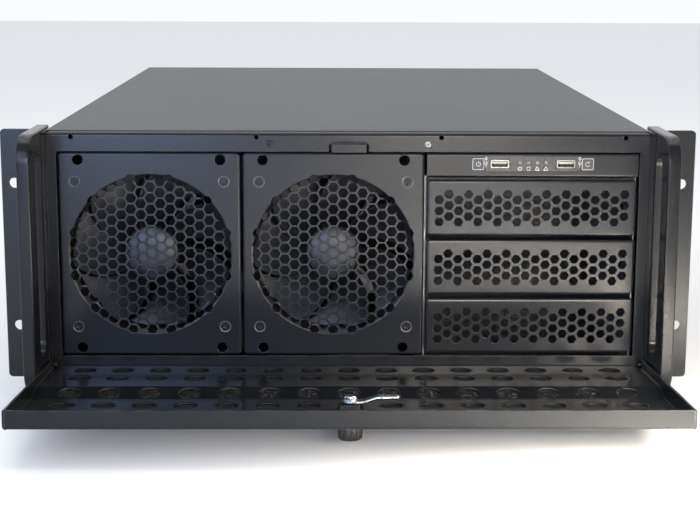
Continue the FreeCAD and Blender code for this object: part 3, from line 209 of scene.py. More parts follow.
def edge_mask(material, radius_mm, strength):
    """Grows to its strength where a rounded normal leaves the true one, as the dot product of the
    two falls from 0.99 to 0.80. Returns the mask and the rounded normal."""
    true_way = add(material, "ShaderNodeNewGeometry")
    round_way = add(material, "ShaderNodeBevel", {"Radius": radius_mm * MM, "samples": 4})
    match = add(material, "ShaderNodeVectorMath", {"operation": "DOT_PRODUCT"},
                {0: (true_way, "Normal"), 1: (round_way, 0)})
    mask = add(material, "ShaderNodeMapRange", {"From Min": 0.99, "From Max": 0.80, "To Max": strength},
               {"Value": (match, "Value")})
    return mask, round_way


def coated_steel(name, hex_colour, hex_worn, roughness, grain_mm, relief_mm, wear=0.5, ior=1.37):
    """Fine-texture powder coat: a 0.1 mm class grain drawn coarse enough to show, soft cloudy
    variation over 60 mm, and bared edges where a 9 mm class cloud lets them through."""
    m = blank_material(name)
    place = add(m, "ShaderNodeTexCoord")
    clouds = add(m, "ShaderNodeTexNoise", {"Scale": 1 / 0.06, "Detail": 3.0}, {"Vector": (place, "Object")})
    grain = add(m, "ShaderNodeTexNoise", {"Scale": 1000.0 / grain_mm, "Detail": 2.0, "Roughness": 0.6},
                {"Vector": (place, "Object")})
    edge, round_way = edge_mask(m, 0.5, wear)
    rub = add(m, "ShaderNodeTexNoise", {"Scale": 1 / 0.009, "Detail": 4.0}, {"Vector": (place, "Object")})
    rubbed = add(m, "ShaderNodeMapRange", {"From Min": 0.42, "From Max": 0.62}, {"Value": (rub, "Fac")})
    worn = add(m, "ShaderNodeMath", {"operation": "MULTIPLY"}, {0: (edge, 0), 1: (rubbed, 0)})
    dark, light = linear(hex_colour), linear(hex_worn)
    lift = [min(1.0, c * 1.35) for c in dark[:3]] + [1.0]
    cloudy = add(m, "ShaderNodeMapRange", {"From Min": 0.3, "From Max": 0.7}, {"Value": (clouds, "Fac")})
    body_colour = add(m, "ShaderNodeMix", {"data_type": "RGBA", 6: dark, 7: lift}, {0: (cloudy, 0)})
    full_colour = add(m, "ShaderNodeMix", {"data_type": "RGBA", 7: light},
                      {0: (worn, 0), 6: (body_colour, 2)})
    sheen = add(m, "ShaderNodeMapRange", {"From Min": 0.3, "From Max": 0.7, "To Min": roughness - 0.05,
                                          "To Max": roughness + 0.06}, {"Value": (grain, "Fac")})
    bump = add(m, "ShaderNodeBump", {"Strength": 0.35, "Distance": relief_mm * MM},
               {"Height": (grain, "Fac"), "Normal": (round_way, 0)})
    coat = add(m, "ShaderNodeBsdfPrincipled", {"IOR": ior, "Metallic": 0.0},
               {"Base Color": (full_colour, 2), "Roughness": (sheen, 0), "Normal": (bump, 0)})
    add(m, "ShaderNodeOutputMaterial", links={"Surface": (coat, 0)})
    return m


powder = coated_steel("powder_coat_fine_texture", "#15171a", "#8a8c8c", 0.22, 0.9, 0.03)
# The top cover's copy of the coat has a lighter base colour than the rest of the case: painted light, the
# top lit from overhead.
lit_cover_powder = coated_steel("powder_coat_cover_painted_light", "#2b2c2e", "#7a7c7c", 0.46, 1.1, 0.06, ior=1.5)


def dress(material, *names):
    """Gives CAD nodes a finished material in every slot."""
    for name in names:
        data = nodes[name].data
        data.materials.clear()
        data.materials.append(material)


dress(powder, "chassis_tray", "front_panel", "rear_panel", "ear_left", "ear_right", "control_panel")
dress(lit_cover_powder, "top_cover")

# ---- Fan panels: two folded plates with a dished grille ----------------------------------------
# Steel blank punched with hexagons at 8 mm pitch, then pressed so that the field sinks 4 mm and its
# outer holes run on to the sloping wall. The blank's four edges are folded back 12 mm.


def turns(count):
    """Equal steps of angle round a full turn."""
    return 2 * np.pi * np.arange(count) / count


def ring(x, z, radius, sides, turn=0.0):
    """Corners of a regular polygon: centre plus radius times (cos, sin) of equal steps."""
    angle = turn + turns(sides)
    return np.stack([x + radius * np.cos(angle), z + radius * np.sin(angle)], 1)


def inside(points, loops):
    """Even-odd rule: counts how many loop edges lie to the right of each point."""
    hits = np.zeros(len(points), int)
    for loop in loops:
        a, b = loop, np.roll(loop, -1, 0)
        straddles = (a[None, :, 1] > points[:, None, 1]) != (b[None, :, 1] > points[:, None, 1])
        rise = np.where(b[:, 1] == a[:, 1], 1e-12, b[:, 1] - a[:, 1])
        cross = a[None, :, 0] + (points[:, None, 1] - a[None, :, 1]) * ((b[:, 0] - a[:, 0]) / rise)[None, :]
        hits += (straddles & (cross > points[:, None, 0])).sum(1)
    return hits % 2 == 1


def sheet_piece(name, loops, folds, form, thick, material, body):
    """A punched and pressed sheet. The flat blank is a constrained Delaunay triangulation of its
    outline, holes and fold lines; form(u, v, depth) carries both skins to their places, and a
    wall of quads joins the skins along every edge that belongs to one triangle only."""
    chains = [(loop, True) for loop in loops] + [(line, False) for line in folds]
    points, edges, count = [], [], 0
    for chain, closed in chains:
        index = count + np.arange(len(chain))
        pairs = np.stack([index, np.roll(index, -1)], 1)
        edges.extend((pairs if closed else pairs[:-1]).tolist())
        points.append(chain)
        count += len(chain)
    flat = np.concatenate(points)
    out = geometry.delaunay_2d_cdt([Vector(p) for p in flat.tolist()], edges, [], 0, 1e-5)
    uv = np.array([tuple(p) for p in out[0]])
    tris = np.array(out[2], int)
    keep = inside(uv[tris].mean(1), loops)
    tris = tris[keep]
    a, b, c = uv[tris[:, 0]], uv[tris[:, 1]], uv[tris[:, 2]]
    clockwise = (b[:, 0] - a[:, 0]) * (c[:, 1] - a[:, 1]) - (b[:, 1] - a[:, 1]) * (c[:, 0] - a[:, 0]) < 0
    tris[clockwise] = tris[clockwise][:, ::-1]
    used, tris = np.unique(tris, return_inverse=True)
    tris = tris.reshape(-1, 3)
    uv = uv[used]
    front, back = form(uv[:, 0], uv[:, 1], 0.0), form(uv[:, 0], uv[:, 1], thick)
    half = np.concatenate([tris[:, [0, 1]], tris[:, [1, 2]], tris[:, [2, 0]]])
    keys = half[:, 0] * len(uv) + half[:, 1]
    border = half[~np.isin(keys, half[:, 1] * len(uv) + half[:, 0])]
    n = len(uv)
    walls = np.stack([border[:, 1], border[:, 0], border[:, 0] + n, border[:, 1] + n], 1)
    faces = tris.tolist() + (tris[:, ::-1] + n).tolist() + walls.tolist()
    return mesh_piece(name, np.concatenate([front, back]), faces, material, body)


def rounded_edges(piece, width_mm, segments):
    """Breaks every edge sharper than 35 degrees, as a press tool or a paint film does."""
    bevel = piece.modifiers.new("broken edges", "BEVEL")
    bevel.width = width_mm * MM
    bevel.segments = segments
    bevel.limit_method = "ANGLE"
    bevel.angle_limit = math.radians(35)
    bevel.harden_normals = False
    return piece


def fold_axis(s, half, radius):
    """Arc length past a fold becomes a quarter bend and then a straight run back: returns the
    place along the face, the depth, and the outward normal's two parts."""
    flat_half = half - radius
    past = np.clip(np.abs(s) - flat_half, 0, None)
    angle = np.clip(past / radius, 0, np.pi / 2)
    run = np.clip(past - radius * np.pi / 2, 0, None)
    along = np.sign(s) * (np.minimum(np.abs(s), flat_half) + radius * np.sin(angle))
    depth = radius * (1 - np.cos(angle)) + run
    return along, depth, np.sign(s) * np.sin(angle), np.cos(angle)


def fold_lines(half_u, half_v, radius, reach):
    """Straight lines across a blank at each fifth of its four bends."""
    lines = []
    for share in np.linspace(0, 1, 5):
        u = half_u - radius + share * radius * np.pi / 2
        v = half_v - radius + share * radius * np.pi / 2
        for sign in (-1, 1):
            lines.append(np.array([[sign * u, -half_v - reach], [sign * u, half_v + reach]]))
            lines.append(np.array([[-half_u - reach, sign * v], [half_u + reach, sign * v]]))
    return lines


def notched_blank(half_u, half_v, radius, flange):
    """The outline of a pan's blank: a rectangle with its four corner squares cut away."""
    u0, v0 = half_u - radius, half_v - radius
    u1, v1 = u0 + radius * np.pi / 2 + flange - radius, v0 + radius * np.pi / 2 + flange - radius
    return np.array([[u0, -v1], [u0, -v0], [u1, -v0], [u1, v0], [u0, v0], [u0, v1],
                     [-u0, v1], [-u0, v0], [-u1, v0], [-u1, -v0], [-u0, -v0], [-u0, -v1]])


HEX_PITCH = 8.0
GRILLE_FLATS = 6.65
DISH_FLAT_R, DISH_RIM_R, DISH_DEPTH = 54.0, 57.5, 4.0
PANEL_T = 1.5
PAN_BEND = 1.9


def squeeze(points):
    """Blank radius to pressed radius: the sloping wall's length folds into its plan width."""
    slope = math.hypot(DISH_RIM_R - DISH_FLAT_R, DISH_DEPTH)
    r = np.hypot(points[:, 0], points[:, 1])
    on_wall = np.clip(r - DISH_FLAT_R, 0, slope)
    beyond = np.clip(r - DISH_FLAT_R - slope, 0, None)
    new = np.minimum(r, DISH_FLAT_R) + on_wall * (DISH_RIM_R - DISH_FLAT_R) / slope + beyond
    return points * (new / np.maximum(r, 1e-9))[:, None]


def dish(u, v):
    """How deep the pressing is at a place: a smooth step from the rim down to the flat field."""
    r = np.hypot(u, v)
    share = np.clip((DISH_RIM_R + 0.6 - r) / (DISH_RIM_R - DISH_FLAT_R + 1.2), 0, 1)
    return DISH_DEPTH * share * share * (3 - 2 * share)


LAST_HOLE_R = 58.4
PORT_AT, PORT_R = (50.0, 68.0), 3.8
SCREW_AT, SCREW_HOLE_R = 52.5, 4.05
ci, ck = np.meshgrid(np.arange(-9, 10), np.arange(-9, 10), indexing="ij")
lattice = np.stack([ci * math.sqrt(3) / 2, ck + (ci % 2) / 2], -1).reshape(-1, 2) * HEX_PITCH
lattice = lattice[np.hypot(lattice[:, 0], lattice[:, 1]) < LAST_HOLE_R]


def folded_pan(name, node, thick, holes, creases, relief, break_mm):
    """A pan over a CAD node's box: the face, pressed relief(u, v) deep, with its four edges folded
    straight back. The second skin lies one sheet behind the first."""
    low, high, middle = box_mm(node)
    half_u, flange, half_v = (high - low) * [0.5, 1.0, 0.5]

    def form(u, v, depth):
        """Both folds add their depth; a skin's own depth follows the outward normal."""
        along_u, deep_u, side_u, face_u = fold_axis(u, half_u, PAN_BEND)
        along_v, deep_v, side_v, face_v = fold_axis(v, half_v, PAN_BEND)
        back = low[1] + deep_u + deep_v + relief(u, v) + depth * np.minimum(face_u, face_v)
        return np.stack([middle[0] + along_u - depth * side_u, back,
                         middle[2] + along_v - depth * side_v], 1)

    loops = [notched_blank(half_u, half_v, PAN_BEND, flange)] + holes
    folds = fold_lines(half_u, half_v, PAN_BEND, flange) + creases
    piece = sheet_piece(name, loops, folds, form, thick, powder, "case")
    return settle(rounded_edges(piece, break_mm, 1), node)


quarters = [(su, sv) for su in (-1, 1) for sv in (-1, 1)]
grille_holes = [squeeze(ring(u, v, GRILLE_FLATS / math.sqrt(3), 6)) for u, v in lattice.tolist()]
grille_holes += [ring(su * PORT_AT[0], sv * PORT_AT[1], PORT_R, 24) for su, sv in quarters]
grille_holes += [ring(su * SCREW_AT, sv * SCREW_AT, SCREW_HOLE_R, 20) for su, sv in quarters]
dish_rings = [np.vstack([ring(0, 0, r, 72), ring(0, 0, r, 72)[:1]])
              for r in np.linspace(DISH_FLAT_R - 0.6, DISH_RIM_R + 0.6, 6)]
for side in ("left", "right"):
    folded_pan("fan_panel_pressed_" + side, "fan_panel_" + side, PANEL_T, grille_holes, dish_rings, dish,
               0.22)

# ---- Bay covers: three shallow pans over the half-height bays ----------------------------------
# The same sheet with three staggered rows of hexagons, folded back on all four sides and held by
# spring fingers behind the flanges.
BAY_FLATS = 5.7
BAY_T = 1.2


def hex_field(columns, rows, shift_first):
    """Staggered hexagon centres: columns 0.866 pitch apart, every other one moved half a pitch."""
    i, k = np.meshgrid(np.arange(columns), np.arange(rows), indexing="ij")
    u = (i - (columns - 1) / 2) * HEX_PITCH * math.sqrt(3) / 2
    v = (k - (rows - 1) / 2) * HEX_PITCH + np.where(i % 2 == 0, -1, 1) * shift_first
    return np.stack([u.ravel(), v.ravel()], 1)


bay_holes = [ring(u, v, BAY_FLATS / math.sqrt(3), 6) for u, v in hex_field(20, 3, HEX_PITCH / 4).tolist()]
for index in (1, 2, 3):
    folded_pan("bay_cover_punched_%d" % index, "bay_cover_%d" % index, BAY_T, bay_holes, [],
               lambda u, v: 0.0, 0.2)

# ---- Door: a drop-down tray with sixty drawn vents ----------------------------------------------
# One powder-coated steel blank: a sloped step between two flat bands, vents whose rims are drawn
# half a millimetre down, three edges folded up 12 mm, and two round ears for the hinge rivets.
hinge_record = {j["name"]: j for j in frame["record"]["behaviour"]["joints"]}["door_hinge"]
HINGE_Y, HINGE_Z = (v / MM for v in hinge_record["pos_m"][1:])
OPEN = math.radians(hinge_record["range_deg"][1])
DOOR_FACE, DOOR_LOW = -1.0, HINGE_Z - 3.5
DOOR_HALF, DOOR_LONG, DOOR_T, DOOR_BEND, LIP_HIGH = 211.5, 168.0, 1.5, 2.4, 12.0
VENT_R, VENT_PITCH, VENT_ROWS, LOCK_U = 7.5, 26.6, (15.0, 42.0, 79.0, 107.0), 128.0


def door_place(x, u, w):
    """A place on the door, u up and w in while shut, turned about the hinge to where it hangs open."""
    dy, dz = DOOR_FACE + w - HINGE_Y, DOOR_LOW + u - HINGE_Z
    return np.stack(np.broadcast_arrays(x, HINGE_Y + dy * math.cos(OPEN) - dz * math.sin(OPEN),
                                        HINGE_Z + dy * math.sin(OPEN) + dz * math.cos(OPEN)), -1)


def eased_path(corners, steps=7):
    """A path through (a, b, run) corners: each corner becomes a parabola that leaves the straight
    sides one run before it and joins them again one run after it."""
    c = np.array(corners, float)
    share = np.linspace(0, 1, steps)[:, None]
    parts = [c[:1, :2]]
    for before, here, after in zip(c[:-2], c[1:-1], c[2:]):
        a = here[:2] + (before[:2] - here[:2]) / np.linalg.norm(before[:2] - here[:2]) * here[2]
        b = here[:2] + (after[:2] - here[:2]) / np.linalg.norm(after[:2] - here[:2]) * here[2]
        parts.append((1 - share) ** 2 * a + 2 * share * (1 - share) * here[:2] + share ** 2 * b)
    return np.concatenate(parts + [c[-1:, :2]])


door_line = eased_path([(-2, 4.5, 0), (70.3, 4.5, 2.2), (87.3, 0, 2.2), (DOOR_LONG, 0, DOOR_BEND),
                        (DOOR_LONG, LIP_HIGH, 0)])
door_steps = np.hypot(*np.diff(door_line, axis=0).T)
door_run = np.concatenate([[0], np.cumsum(door_steps)])
door_way = np.gradient(door_line, door_run, axis=0)
door_way /= np.hypot(*door_way.T)[:, None]
vent_s = np.interp(VENT_ROWS, door_line[:, 0], door_run)
last_flat = door_run[-1] - (LIP_HIGH - DOOR_BEND) - np.sum(door_steps[-7:-1])
side_flat = DOOR_HALF - DOOR_BEND
side_foot = side_flat + DOOR_BEND * np.pi / 2


def door_form(x, s, depth):
    """The outer skin follows the door's long profile by arc length s and folds up at both sides;
    the inner skin lies one sheet inside it. Near a vent both sink by the square of the closeness."""
    on_side = s < last_flat + 2.4
    along, deep, side_n, face_n = fold_axis(x, DOOR_HALF, DOOR_BEND)
    along, deep = np.where(on_side, along, x), np.where(on_side, deep, 0.0)
    side_n, face_n = np.where(on_side, side_n, 0.0), np.where(on_side, face_n, 1.0)
    beyond = (np.abs(x) > side_flat + 1e-6) & on_side
    held = np.where(beyond, np.minimum(s, last_flat), s)
    u = np.interp(held, door_run, door_line[:, 0]) + (s - held)
    w = np.interp(held, door_run, door_line[:, 1])
    tu, tw = np.interp(held, door_run, door_way[:, 0]), np.interp(held, door_run, door_way[:, 1])
    column = np.clip(np.round(x / VENT_PITCH), -7, 7) * VENT_PITCH
    gap = np.hypot(x - column, np.min(np.abs(s[:, None] - vent_s[None, :]), 1))
    sunk = 0.5 * np.clip((VENT_R + 1.8 - gap) / 1.8, 0, 1) ** 2
    return door_place(along - depth * side_n, u - depth * face_n * tw,
                      w + deep - sunk + depth * face_n * tu)


arc = np.radians(np.linspace(195.0, 90.0, 12))
ear_u, ear_w = 3.5 + 4.2 * np.cos(arc), 8.0 + 4.2 * np.sin(arc)
ear_edge = np.stack([side_foot + ear_w - 4.5 - DOOR_BEND, ear_u + 2.0], 1)
lip_s = door_run[(door_run > 6.5) & (door_run < last_flat - 0.5)]
lip_rise = np.interp(lip_s, door_run, door_line[:, 1])
lip_edge = np.stack([side_foot + LIP_HIGH - lip_rise - DOOR_BEND, lip_s], 1)
top_x = side_foot + LIP_HIGH - DOOR_BEND
right_edge = np.vstack([[[side_flat, 2.0], [side_foot, 2.0]], ear_edge, lip_edge,
                        [[top_x, last_flat + 1.6], [top_x - 0.8, last_flat + 2.3],
                         [side_flat + 0.1, last_flat + 2.3], [side_flat + 0.1, last_flat],
                         [side_flat - 0.1, last_flat],
                         [side_flat - 0.1, last_flat + 2.5], [DOOR_HALF - 1.6, last_flat + 2.6],
                         [DOOR_HALF - 1.6, door_run[-1] - 0.8], [DOOR_HALF - 2.4, door_run[-1]]]])
loops = [np.vstack([right_edge, (right_edge * [-1, 1])[::-1]])]
loops += [ring(c * VENT_PITCH, s, VENT_R, 30) for s in vent_s.tolist() for c in range(-7, 8)]
loops.append(ring(0, float(np.interp(LOCK_U, door_line[:, 0], door_run)), 8.25, 30))
loops += [ring(sign * (side_foot + 8.0 - 4.5 - DOOR_BEND), 5.5, 2.05, 16) for sign in (-1, 1)]
folds = []
for s in vent_s.tolist():
    for c in range(-7, 8):
        for r in (VENT_R + 0.45, VENT_R + 0.95, VENT_R + 1.8):
            rim = ring(c * VENT_PITCH, s, r, 30)
            folds.append(np.vstack([rim, rim[:1]]))
folds += [np.array([[-230.0, s], [230.0, s]]) for s in door_run[1:-1].tolist()]
for share in np.linspace(0, 1, 6):
    x = side_flat + share * DOOR_BEND * np.pi / 2
    folds += [np.array([[sign * x, -3.0], [sign * x, last_flat + 2.4]]) for sign in (-1, 1)]
# The door's copy of the coat has a darker base colour than the case's: painted shade on the open door.
shaded_door_powder = coated_steel("powder_coat_door_painted_shade", "#0f1113", "#8a8c8c", 0.20, 0.9, 0.03, ior=1.31)
door_sheet = sheet_piece("door_pressed", loops, folds, door_form, DOOR_T, shaded_door_powder, "door")
settle(rounded_edges(door_sheet, 0.2, 1), "door")

# ---- Dust mesh: woven wire behind the vents ----------------------------------------------------
# Black-oxide wire of 0.35 mm woven square at 1.3 mm. The weave stays in the material and the
# imported strip carries it. Grey specks on the wire are painted light, and the near-black gaps
# are painted shade.


def woven_wire(name, speck_light_hex, gap_shade_hex, pitch_mm):
    """Two sets of bands at the wire pitch: their larger value is the wire, the rest is gap. The gap
    colour is painted shade, and the grey noise specks on the wire are painted light.
    """
    m = blank_material(name)
    place = add(m, "ShaderNodeTexCoord")
    over, under = (add(m, "ShaderNodeTexWave", {"bands_direction": way, "Scale": 0.314 / (pitch_mm * MM)},
                       {"Vector": (place, "Object")}) for way in "XY")
    wires = add(m, "ShaderNodeMath", {"operation": "MAXIMUM"}, {0: (over, "Fac"), 1: (under, "Fac")})
    solid = add(m, "ShaderNodeMapRange", {"From Min": 0.72, "From Max": 0.88}, {"Value": (wires, 0)})
    # Noise specks that lighten the wire: painted light specks.
    light_speck_noise = add(m, "ShaderNodeTexNoise", {"Scale": 1 / 0.0016, "Detail": 1.0},
                 {"Vector": (place, "Object")})
    bright = add(m, "ShaderNodeMapRange", {"From Min": 0.57, "From Max": 0.72}, {"Value": (light_speck_noise, "Fac")})
    wire_and_light_speck_tone = add(m, "ShaderNodeMix", {"data_type": "RGBA", 6: linear("#131313"), 7: linear(speck_light_hex)},
                    {0: (bright, 0)})
    # The near-black gap colour is painted shade seen through the weave.
    colour = add(m, "ShaderNodeMix", {"data_type": "RGBA", 6: linear(gap_shade_hex)},
                 {0: (solid, 0), 7: (wire_and_light_speck_tone, 2)})
    bump = add(m, "ShaderNodeBump", {"Strength": 0.9, "Distance": 0.3 * MM}, {"Height": (wires, 0)})
    wire = add(m, "ShaderNodeBsdfPrincipled", {"Roughness": 0.5, "Specular IOR Level": 0.12},
               {"Base Color": (colour, 2), "Normal": (bump, 0)})
    add(m, "ShaderNodeOutputMaterial", links={"Surface": (wire, 0)})
    return m


dress(woven_wire("wire_cloth_painted_specks_and_shade", "#75736f", "#040404", 1.3), "door_mesh")

# ---- Cam lock: die-cast body, fluted knob, bent cam ---------------------------------------------
# The flange and knob are zinc castings under a black coat. The cam is 2 mm steel, pressed to an S
# and bright zinc plated, held on its spindle by a plated nut and a washer.


def tube_faces(rows, columns):
    """Quads round a tube of rows by columns points, and one flat face over each end."""
    last = (rows - 1) * columns
    ends = [list(range(columns))[::-1], list(range(last, last + columns))]
    return grid_faces(rows, columns, wrap_columns=True) + ends


def squared(value, power):
    """The value's size raised to a power, its sign kept: draws a circle out towards a square."""
    return np.sign(value) * np.abs(value) ** power


def polar(radius, height, turn=0.0):
    """Points (r cos t, r sin t, h) for rows of radius and height by equal directions t, closed with
    one pole before the first row and one after the last."""
    rows, columns = radius.shape
    height = np.broadcast_to(height, radius.shape)
    t = turn + turns(columns)
    body = np.stack([radius * np.cos(t), radius * np.sin(t), height], -1).reshape(-1, 3)
    points = np.vstack([[[0, 0, height[0].mean()]], body, [[0, 0, height[-1].mean()]]])
    k = np.arange(columns)
    k2 = (k + 1) % columns
    last = 1 + (rows - 1) * columns
    top = np.stack([np.zeros(columns, int), k + 1, k2 + 1], 1).tolist()
    bottom = np.stack([np.full(columns, len(points) - 1), last + k2, last + k], 1).tolist()
    return points, top + grid_faces(rows, columns, wrap_columns=True, start=1, flip=True) + bottom


def turned(profile, columns=40):
    """A round piece from (radius, height) pairs, top first."""
    profile = np.array(profile, float)
    return polar(np.repeat(profile[:, :1], columns, 1), profile[:, 1:])


def joined(*parts):
    """Several (points, faces) surfaces in one mesh, each one's faces counted on from the last."""
    starts = np.cumsum([0] + [len(p) for p, _ in parts[:-1]])
    faces = [[i + int(s) for i in f] for (_, part), s in zip(parts, starts) for f in part]
    return np.concatenate([p for p, _ in parts]), faces


def outward(part):
    """Turns a closed surface's faces over when its signed volume is negative: the sum over its
    triangles of first corner times the cross product of the other two."""
    points, faces = part
    tris = np.array([(f[0], a, b) for f in faces for a, b in zip(f[1:-1], f[2:])])
    corner = (points - points.mean(0))[tris]
    volume = np.sum(corner[:, 0] * np.cross(corner[:, 1], corner[:, 2]))
    return part if volume > 0 else (points, [f[::-1] for f in faces])


def set_down(part, place, ways):
    """Local (a, b, h) points laid along three given directions from a place, faces outward."""
    points, faces = part
    return outward((np.asarray(place, float) + points @ np.asarray(ways, float), faces))


def all_down(parts, place, ways):
    """Several parts laid at one place."""
    return [set_down(part, place, ways) for part in parts]


def solid_piece(name, parts, material, body, node=None, crease=None):
    """Closed parts in one mesh: smooth up to a crease angle in degrees, or flat without one."""
    piece = mesh_piece(name, *joined(*parts), material, body, smooth=crease is not None)
    return settle(piece, node, crease)


SMOOTH = 180


def finish_of(name, hex_colour, hex_second, roughness, metallic, mark_mm, relief_mm, wear_hex, edge_mm=0.4):
    """A surface with tone clouds between two colours at a real mark size, fine relief of the same
    size, roughness that follows the marks, and edges rubbed to a third tone."""
    m = blank_material(name)
    place = add(m, "ShaderNodeTexCoord")
    marks = add(m, "ShaderNodeTexNoise", {"Scale": 1000.0 / mark_mm, "Detail": 3.0, "Roughness": 0.6},
                {"Vector": (place, "Object")})
    spread = add(m, "ShaderNodeMapRange", {"From Min": 0.35, "From Max": 0.65}, {"Value": (marks, "Fac")})
    tone = add(m, "ShaderNodeMix", {"data_type": "RGBA", 6: linear(hex_colour), 7: linear(hex_second)},
               {0: (spread, 0)})
    edge, round_way = edge_mask(m, edge_mm, 0.6)
    worn = add(m, "ShaderNodeMix", {"data_type": "RGBA", 7: linear(wear_hex)}, {0: (edge, 0), 6: (tone, 2)})
    sheen = add(m, "ShaderNodeMapRange", {"From Min": 0.35, "From Max": 0.65, "To Min": roughness - 0.06,
                                          "To Max": roughness + 0.08}, {"Value": (marks, "Fac")})
    bump = add(m, "ShaderNodeBump", {"Strength": 0.4, "Distance": relief_mm * MM},
               {"Height": (marks, "Fac"), "Normal": (round_way, 0)})
    skin = add(m, "ShaderNodeBsdfPrincipled", {"Metallic": metallic},
               {"Base Color": (worn, 2), "Roughness": (sheen, 0), "Normal": (bump, 0)})
    add(m, "ShaderNodeOutputMaterial", links={"Surface": (skin, 0)})
    return m


lock_black = finish_of("die_cast_zinc_black_coat", "#0d0d0d", "#181817", 0.27, 0.0, 1.6, 0.05, "#222221")
cam_zinc = finish_of("bright_zinc_plate", "#bcc4c8", "#98a2a8", 0.24, 1.0, 2.4, 0.04, "#d8dee0")
lock_centre = door_place(0.0, LOCK_U, 0.0)
lock_ways = [[1, 0, 0], (door_place(0.0, 1.0, 0.0) - door_place(0.0, 0.0, 0.0)).tolist(),
             (door_place(0.0, 0.0, 1.0) - door_place(0.0, 0.0, 0.0)).tolist()]
down_ways = [lock_ways[1], lock_ways[0], (-np.array(lock_ways[2])).tolist()]
flange = turned([(3.1, 4.5), (6.0, 4.5), (8.6, 4.45), (10.3, 3.9), (10.95, 3.0), (11.0, 1.2), (10.7, 0.1),
                 (8.0, 0.0), (8.0, -7.2), (7.6, -7.4), (3.1, -7.4)])
solid_piece("lock_flange", all_down([flange], lock_centre, down_ways), lock_black, "door",
            "lock_body", SMOOTH)

FLUTES, FLUTE_DEEP = 10, 0.75
flute = FLUTE_DEEP * np.clip(np.cos(turns(96) * FLUTES), 0, 1) ** 2
grip = np.array([  # radius, height, share of the flute
    (0.6, 16.0, 0), (4.4, 15.95, 0), (5.2, 15.5, 0), (5.7, 15.6, 0), (6.6, 15.55, 0.3), (7.3, 15.1, 0.7),
    (7.7, 14.2, 1), (7.85, 12.0, 1), (7.95, 9.0, 1), (8.0, 6.6, 0.8), (7.7, 5.6, 0.3), (6.8, 5.0, 0),
    (3.0, 4.75, 0), (3.0, 1.0, 0), (3.0, -12.2, 0), (2.6, -12.4, 0)])
knob = polar(grip[:, :1] - grip[:, 2:] * flute[None, :], grip[:, 1:2])
solid_piece("lock_knob_fluted", all_down([knob], lock_centre, down_ways), lock_black, "lock",
            "lock_knob", SMOOTH)

along = np.linspace(-4.5, 32.0, 34)
rise = np.clip((along - 6.0) / 13.0, 0, 1)
middle_w = 8.6 + 3.0 * rise * rise * (3 - 2 * rise)
tip = np.clip((along - 28.0) / 4.0, 0, 1)
heel = np.clip(-along / 4.5, 0, 1)
half_wide = (4.5 - 0.9 * np.clip((along - 5) / 20, 0, 1)) * np.sqrt(np.clip(1 - tip ** 2.4 * 0.94, 0.05, 1))
half_wide *= np.sqrt(np.clip(1 - heel ** 2, 0.05, 1))
wide, thin = squared(np.cos(turns(20)), 0.35), squared(np.sin(turns(20)), 0.35)
arm = np.stack([np.repeat(along[:, None], 20, 1), half_wide[:, None] * wide[None, :],
                middle_w[:, None] + thin[None, :]], -1).reshape(-1, 3)
solid_piece("lock_cam_pressed", all_down([(arm, tube_faces(34, 20))], lock_centre, lock_ways), cam_zinc,
            "lock", "lock_cam", 50)


def hex_nut(across, high, bore, foot):
    """A chamfered hexagon: radius to its flats grows towards the corners by one over the cosine of
    the angle from the nearest flat, and the two end rows are cut back to a circle."""
    t = turns(48)
    hexed = across / 2 / np.cos((t + np.pi / 6) % (np.pi / 3) - np.pi / 6)
    circle = np.full(48, across / 2 * 0.99)
    rows = np.stack([np.full(48, bore), circle, hexed, hexed, circle, np.full(48, bore)])
    level = np.array([high, high, high - 0.5, 0.5, 0.0, 0.0]) + foot
    return polar(rows, level[:, None])


washer = turned([(3.1, 9.9), (5.6, 9.9), (5.8, 9.75), (5.8, 9.6), (3.1, 9.6)])
nuts = all_down([hex_nut(7.6, 2.8, 3.0, 9.7), washer], lock_centre, lock_ways)
solid_piece("lock_cam_fixing", nuts, cam_zinc, "lock", "lock_cam_nut", 35)
ring_nut = all_down([hex_nut(18.2, 2.6, 8.1, 1.5)], lock_centre, lock_ways)
solid_piece("lock_ring_nut", ring_nut, lock_black, "door", "lock_nut", 35)

# ---- Fans: two 120 mm axial fans behind the grilles ---------------------------------------------
# Frame and rotor are injection-moulded glass-filled PBT. The rotor's seven blades are swept and
# twisted; a lighter disc on the motor hub is painted sheen of its satin face, and four struts at
# the back carry the motor.
fan_plastic = finish_of("moulded_pbt_black", "#17181a", "#232427", 0.40, 0.0, 3.0, 0.03, "#3a3c40", 0.5)
blade_plastic = finish_of("moulded_pbt_blade", "#15171a", "#1f2226", 0.40, 0.0, 14.0, 0.03, "#2e3136", 0.3)
hub_sheen_paint = finish_of("hub_painted_sheen_disc", "#1b1f25", "#272c33", 0.38, 0.2, 6.0, 0.02, "#3a4048", 0.3)
FRONT = [[1, 0, 0], [0, 0, 1], [0, -1, 0]]
BLADES, ROOT_R, TIP_R, BLADE_T = 7, 18.5, 57.4, 1.8
MOTOR_R, STRUT_END_R = 20.0, 59.4


def blade(front, back, turn):
    """One blade on a grid of radii by places round its section. Angle = sweep + s times the half
    turn; depth = middle + s times half the rise + belly (1 - s squared), plus or minus half the
    thickness, which fades to the edges. Sweep and rise change with the square of the radius."""
    t = np.linspace(0, 1, 14)[:, None]
    lap = turns(36)[None, :]
    s = np.cos(lap)
    radius = ROOT_R + t * (TIP_R - ROOT_R)
    sweep = np.radians(8 * t + 16 * t * t)
    y0 = front + 3.0 - 1.0 * t + 4.0 * t * t
    y1 = back - 2.0 - 5.0 * t - 2.0 * t * t
    angle = turn + sweep + s * math.pi / BLADES * 0.86
    skin = BLADE_T / 2 * squared(np.sin(lap), 0.5)
    depth = (y0 + y1) / 2 + s * (y1 - y0) / 2 + 2.9 * (1 - s * s) - skin
    points = np.stack([radius * np.sin(angle), -depth, radius * np.cos(angle)], -1)[..., [0, 2, 1]]
    return points.reshape(-1, 3), tube_faces(14, 36)


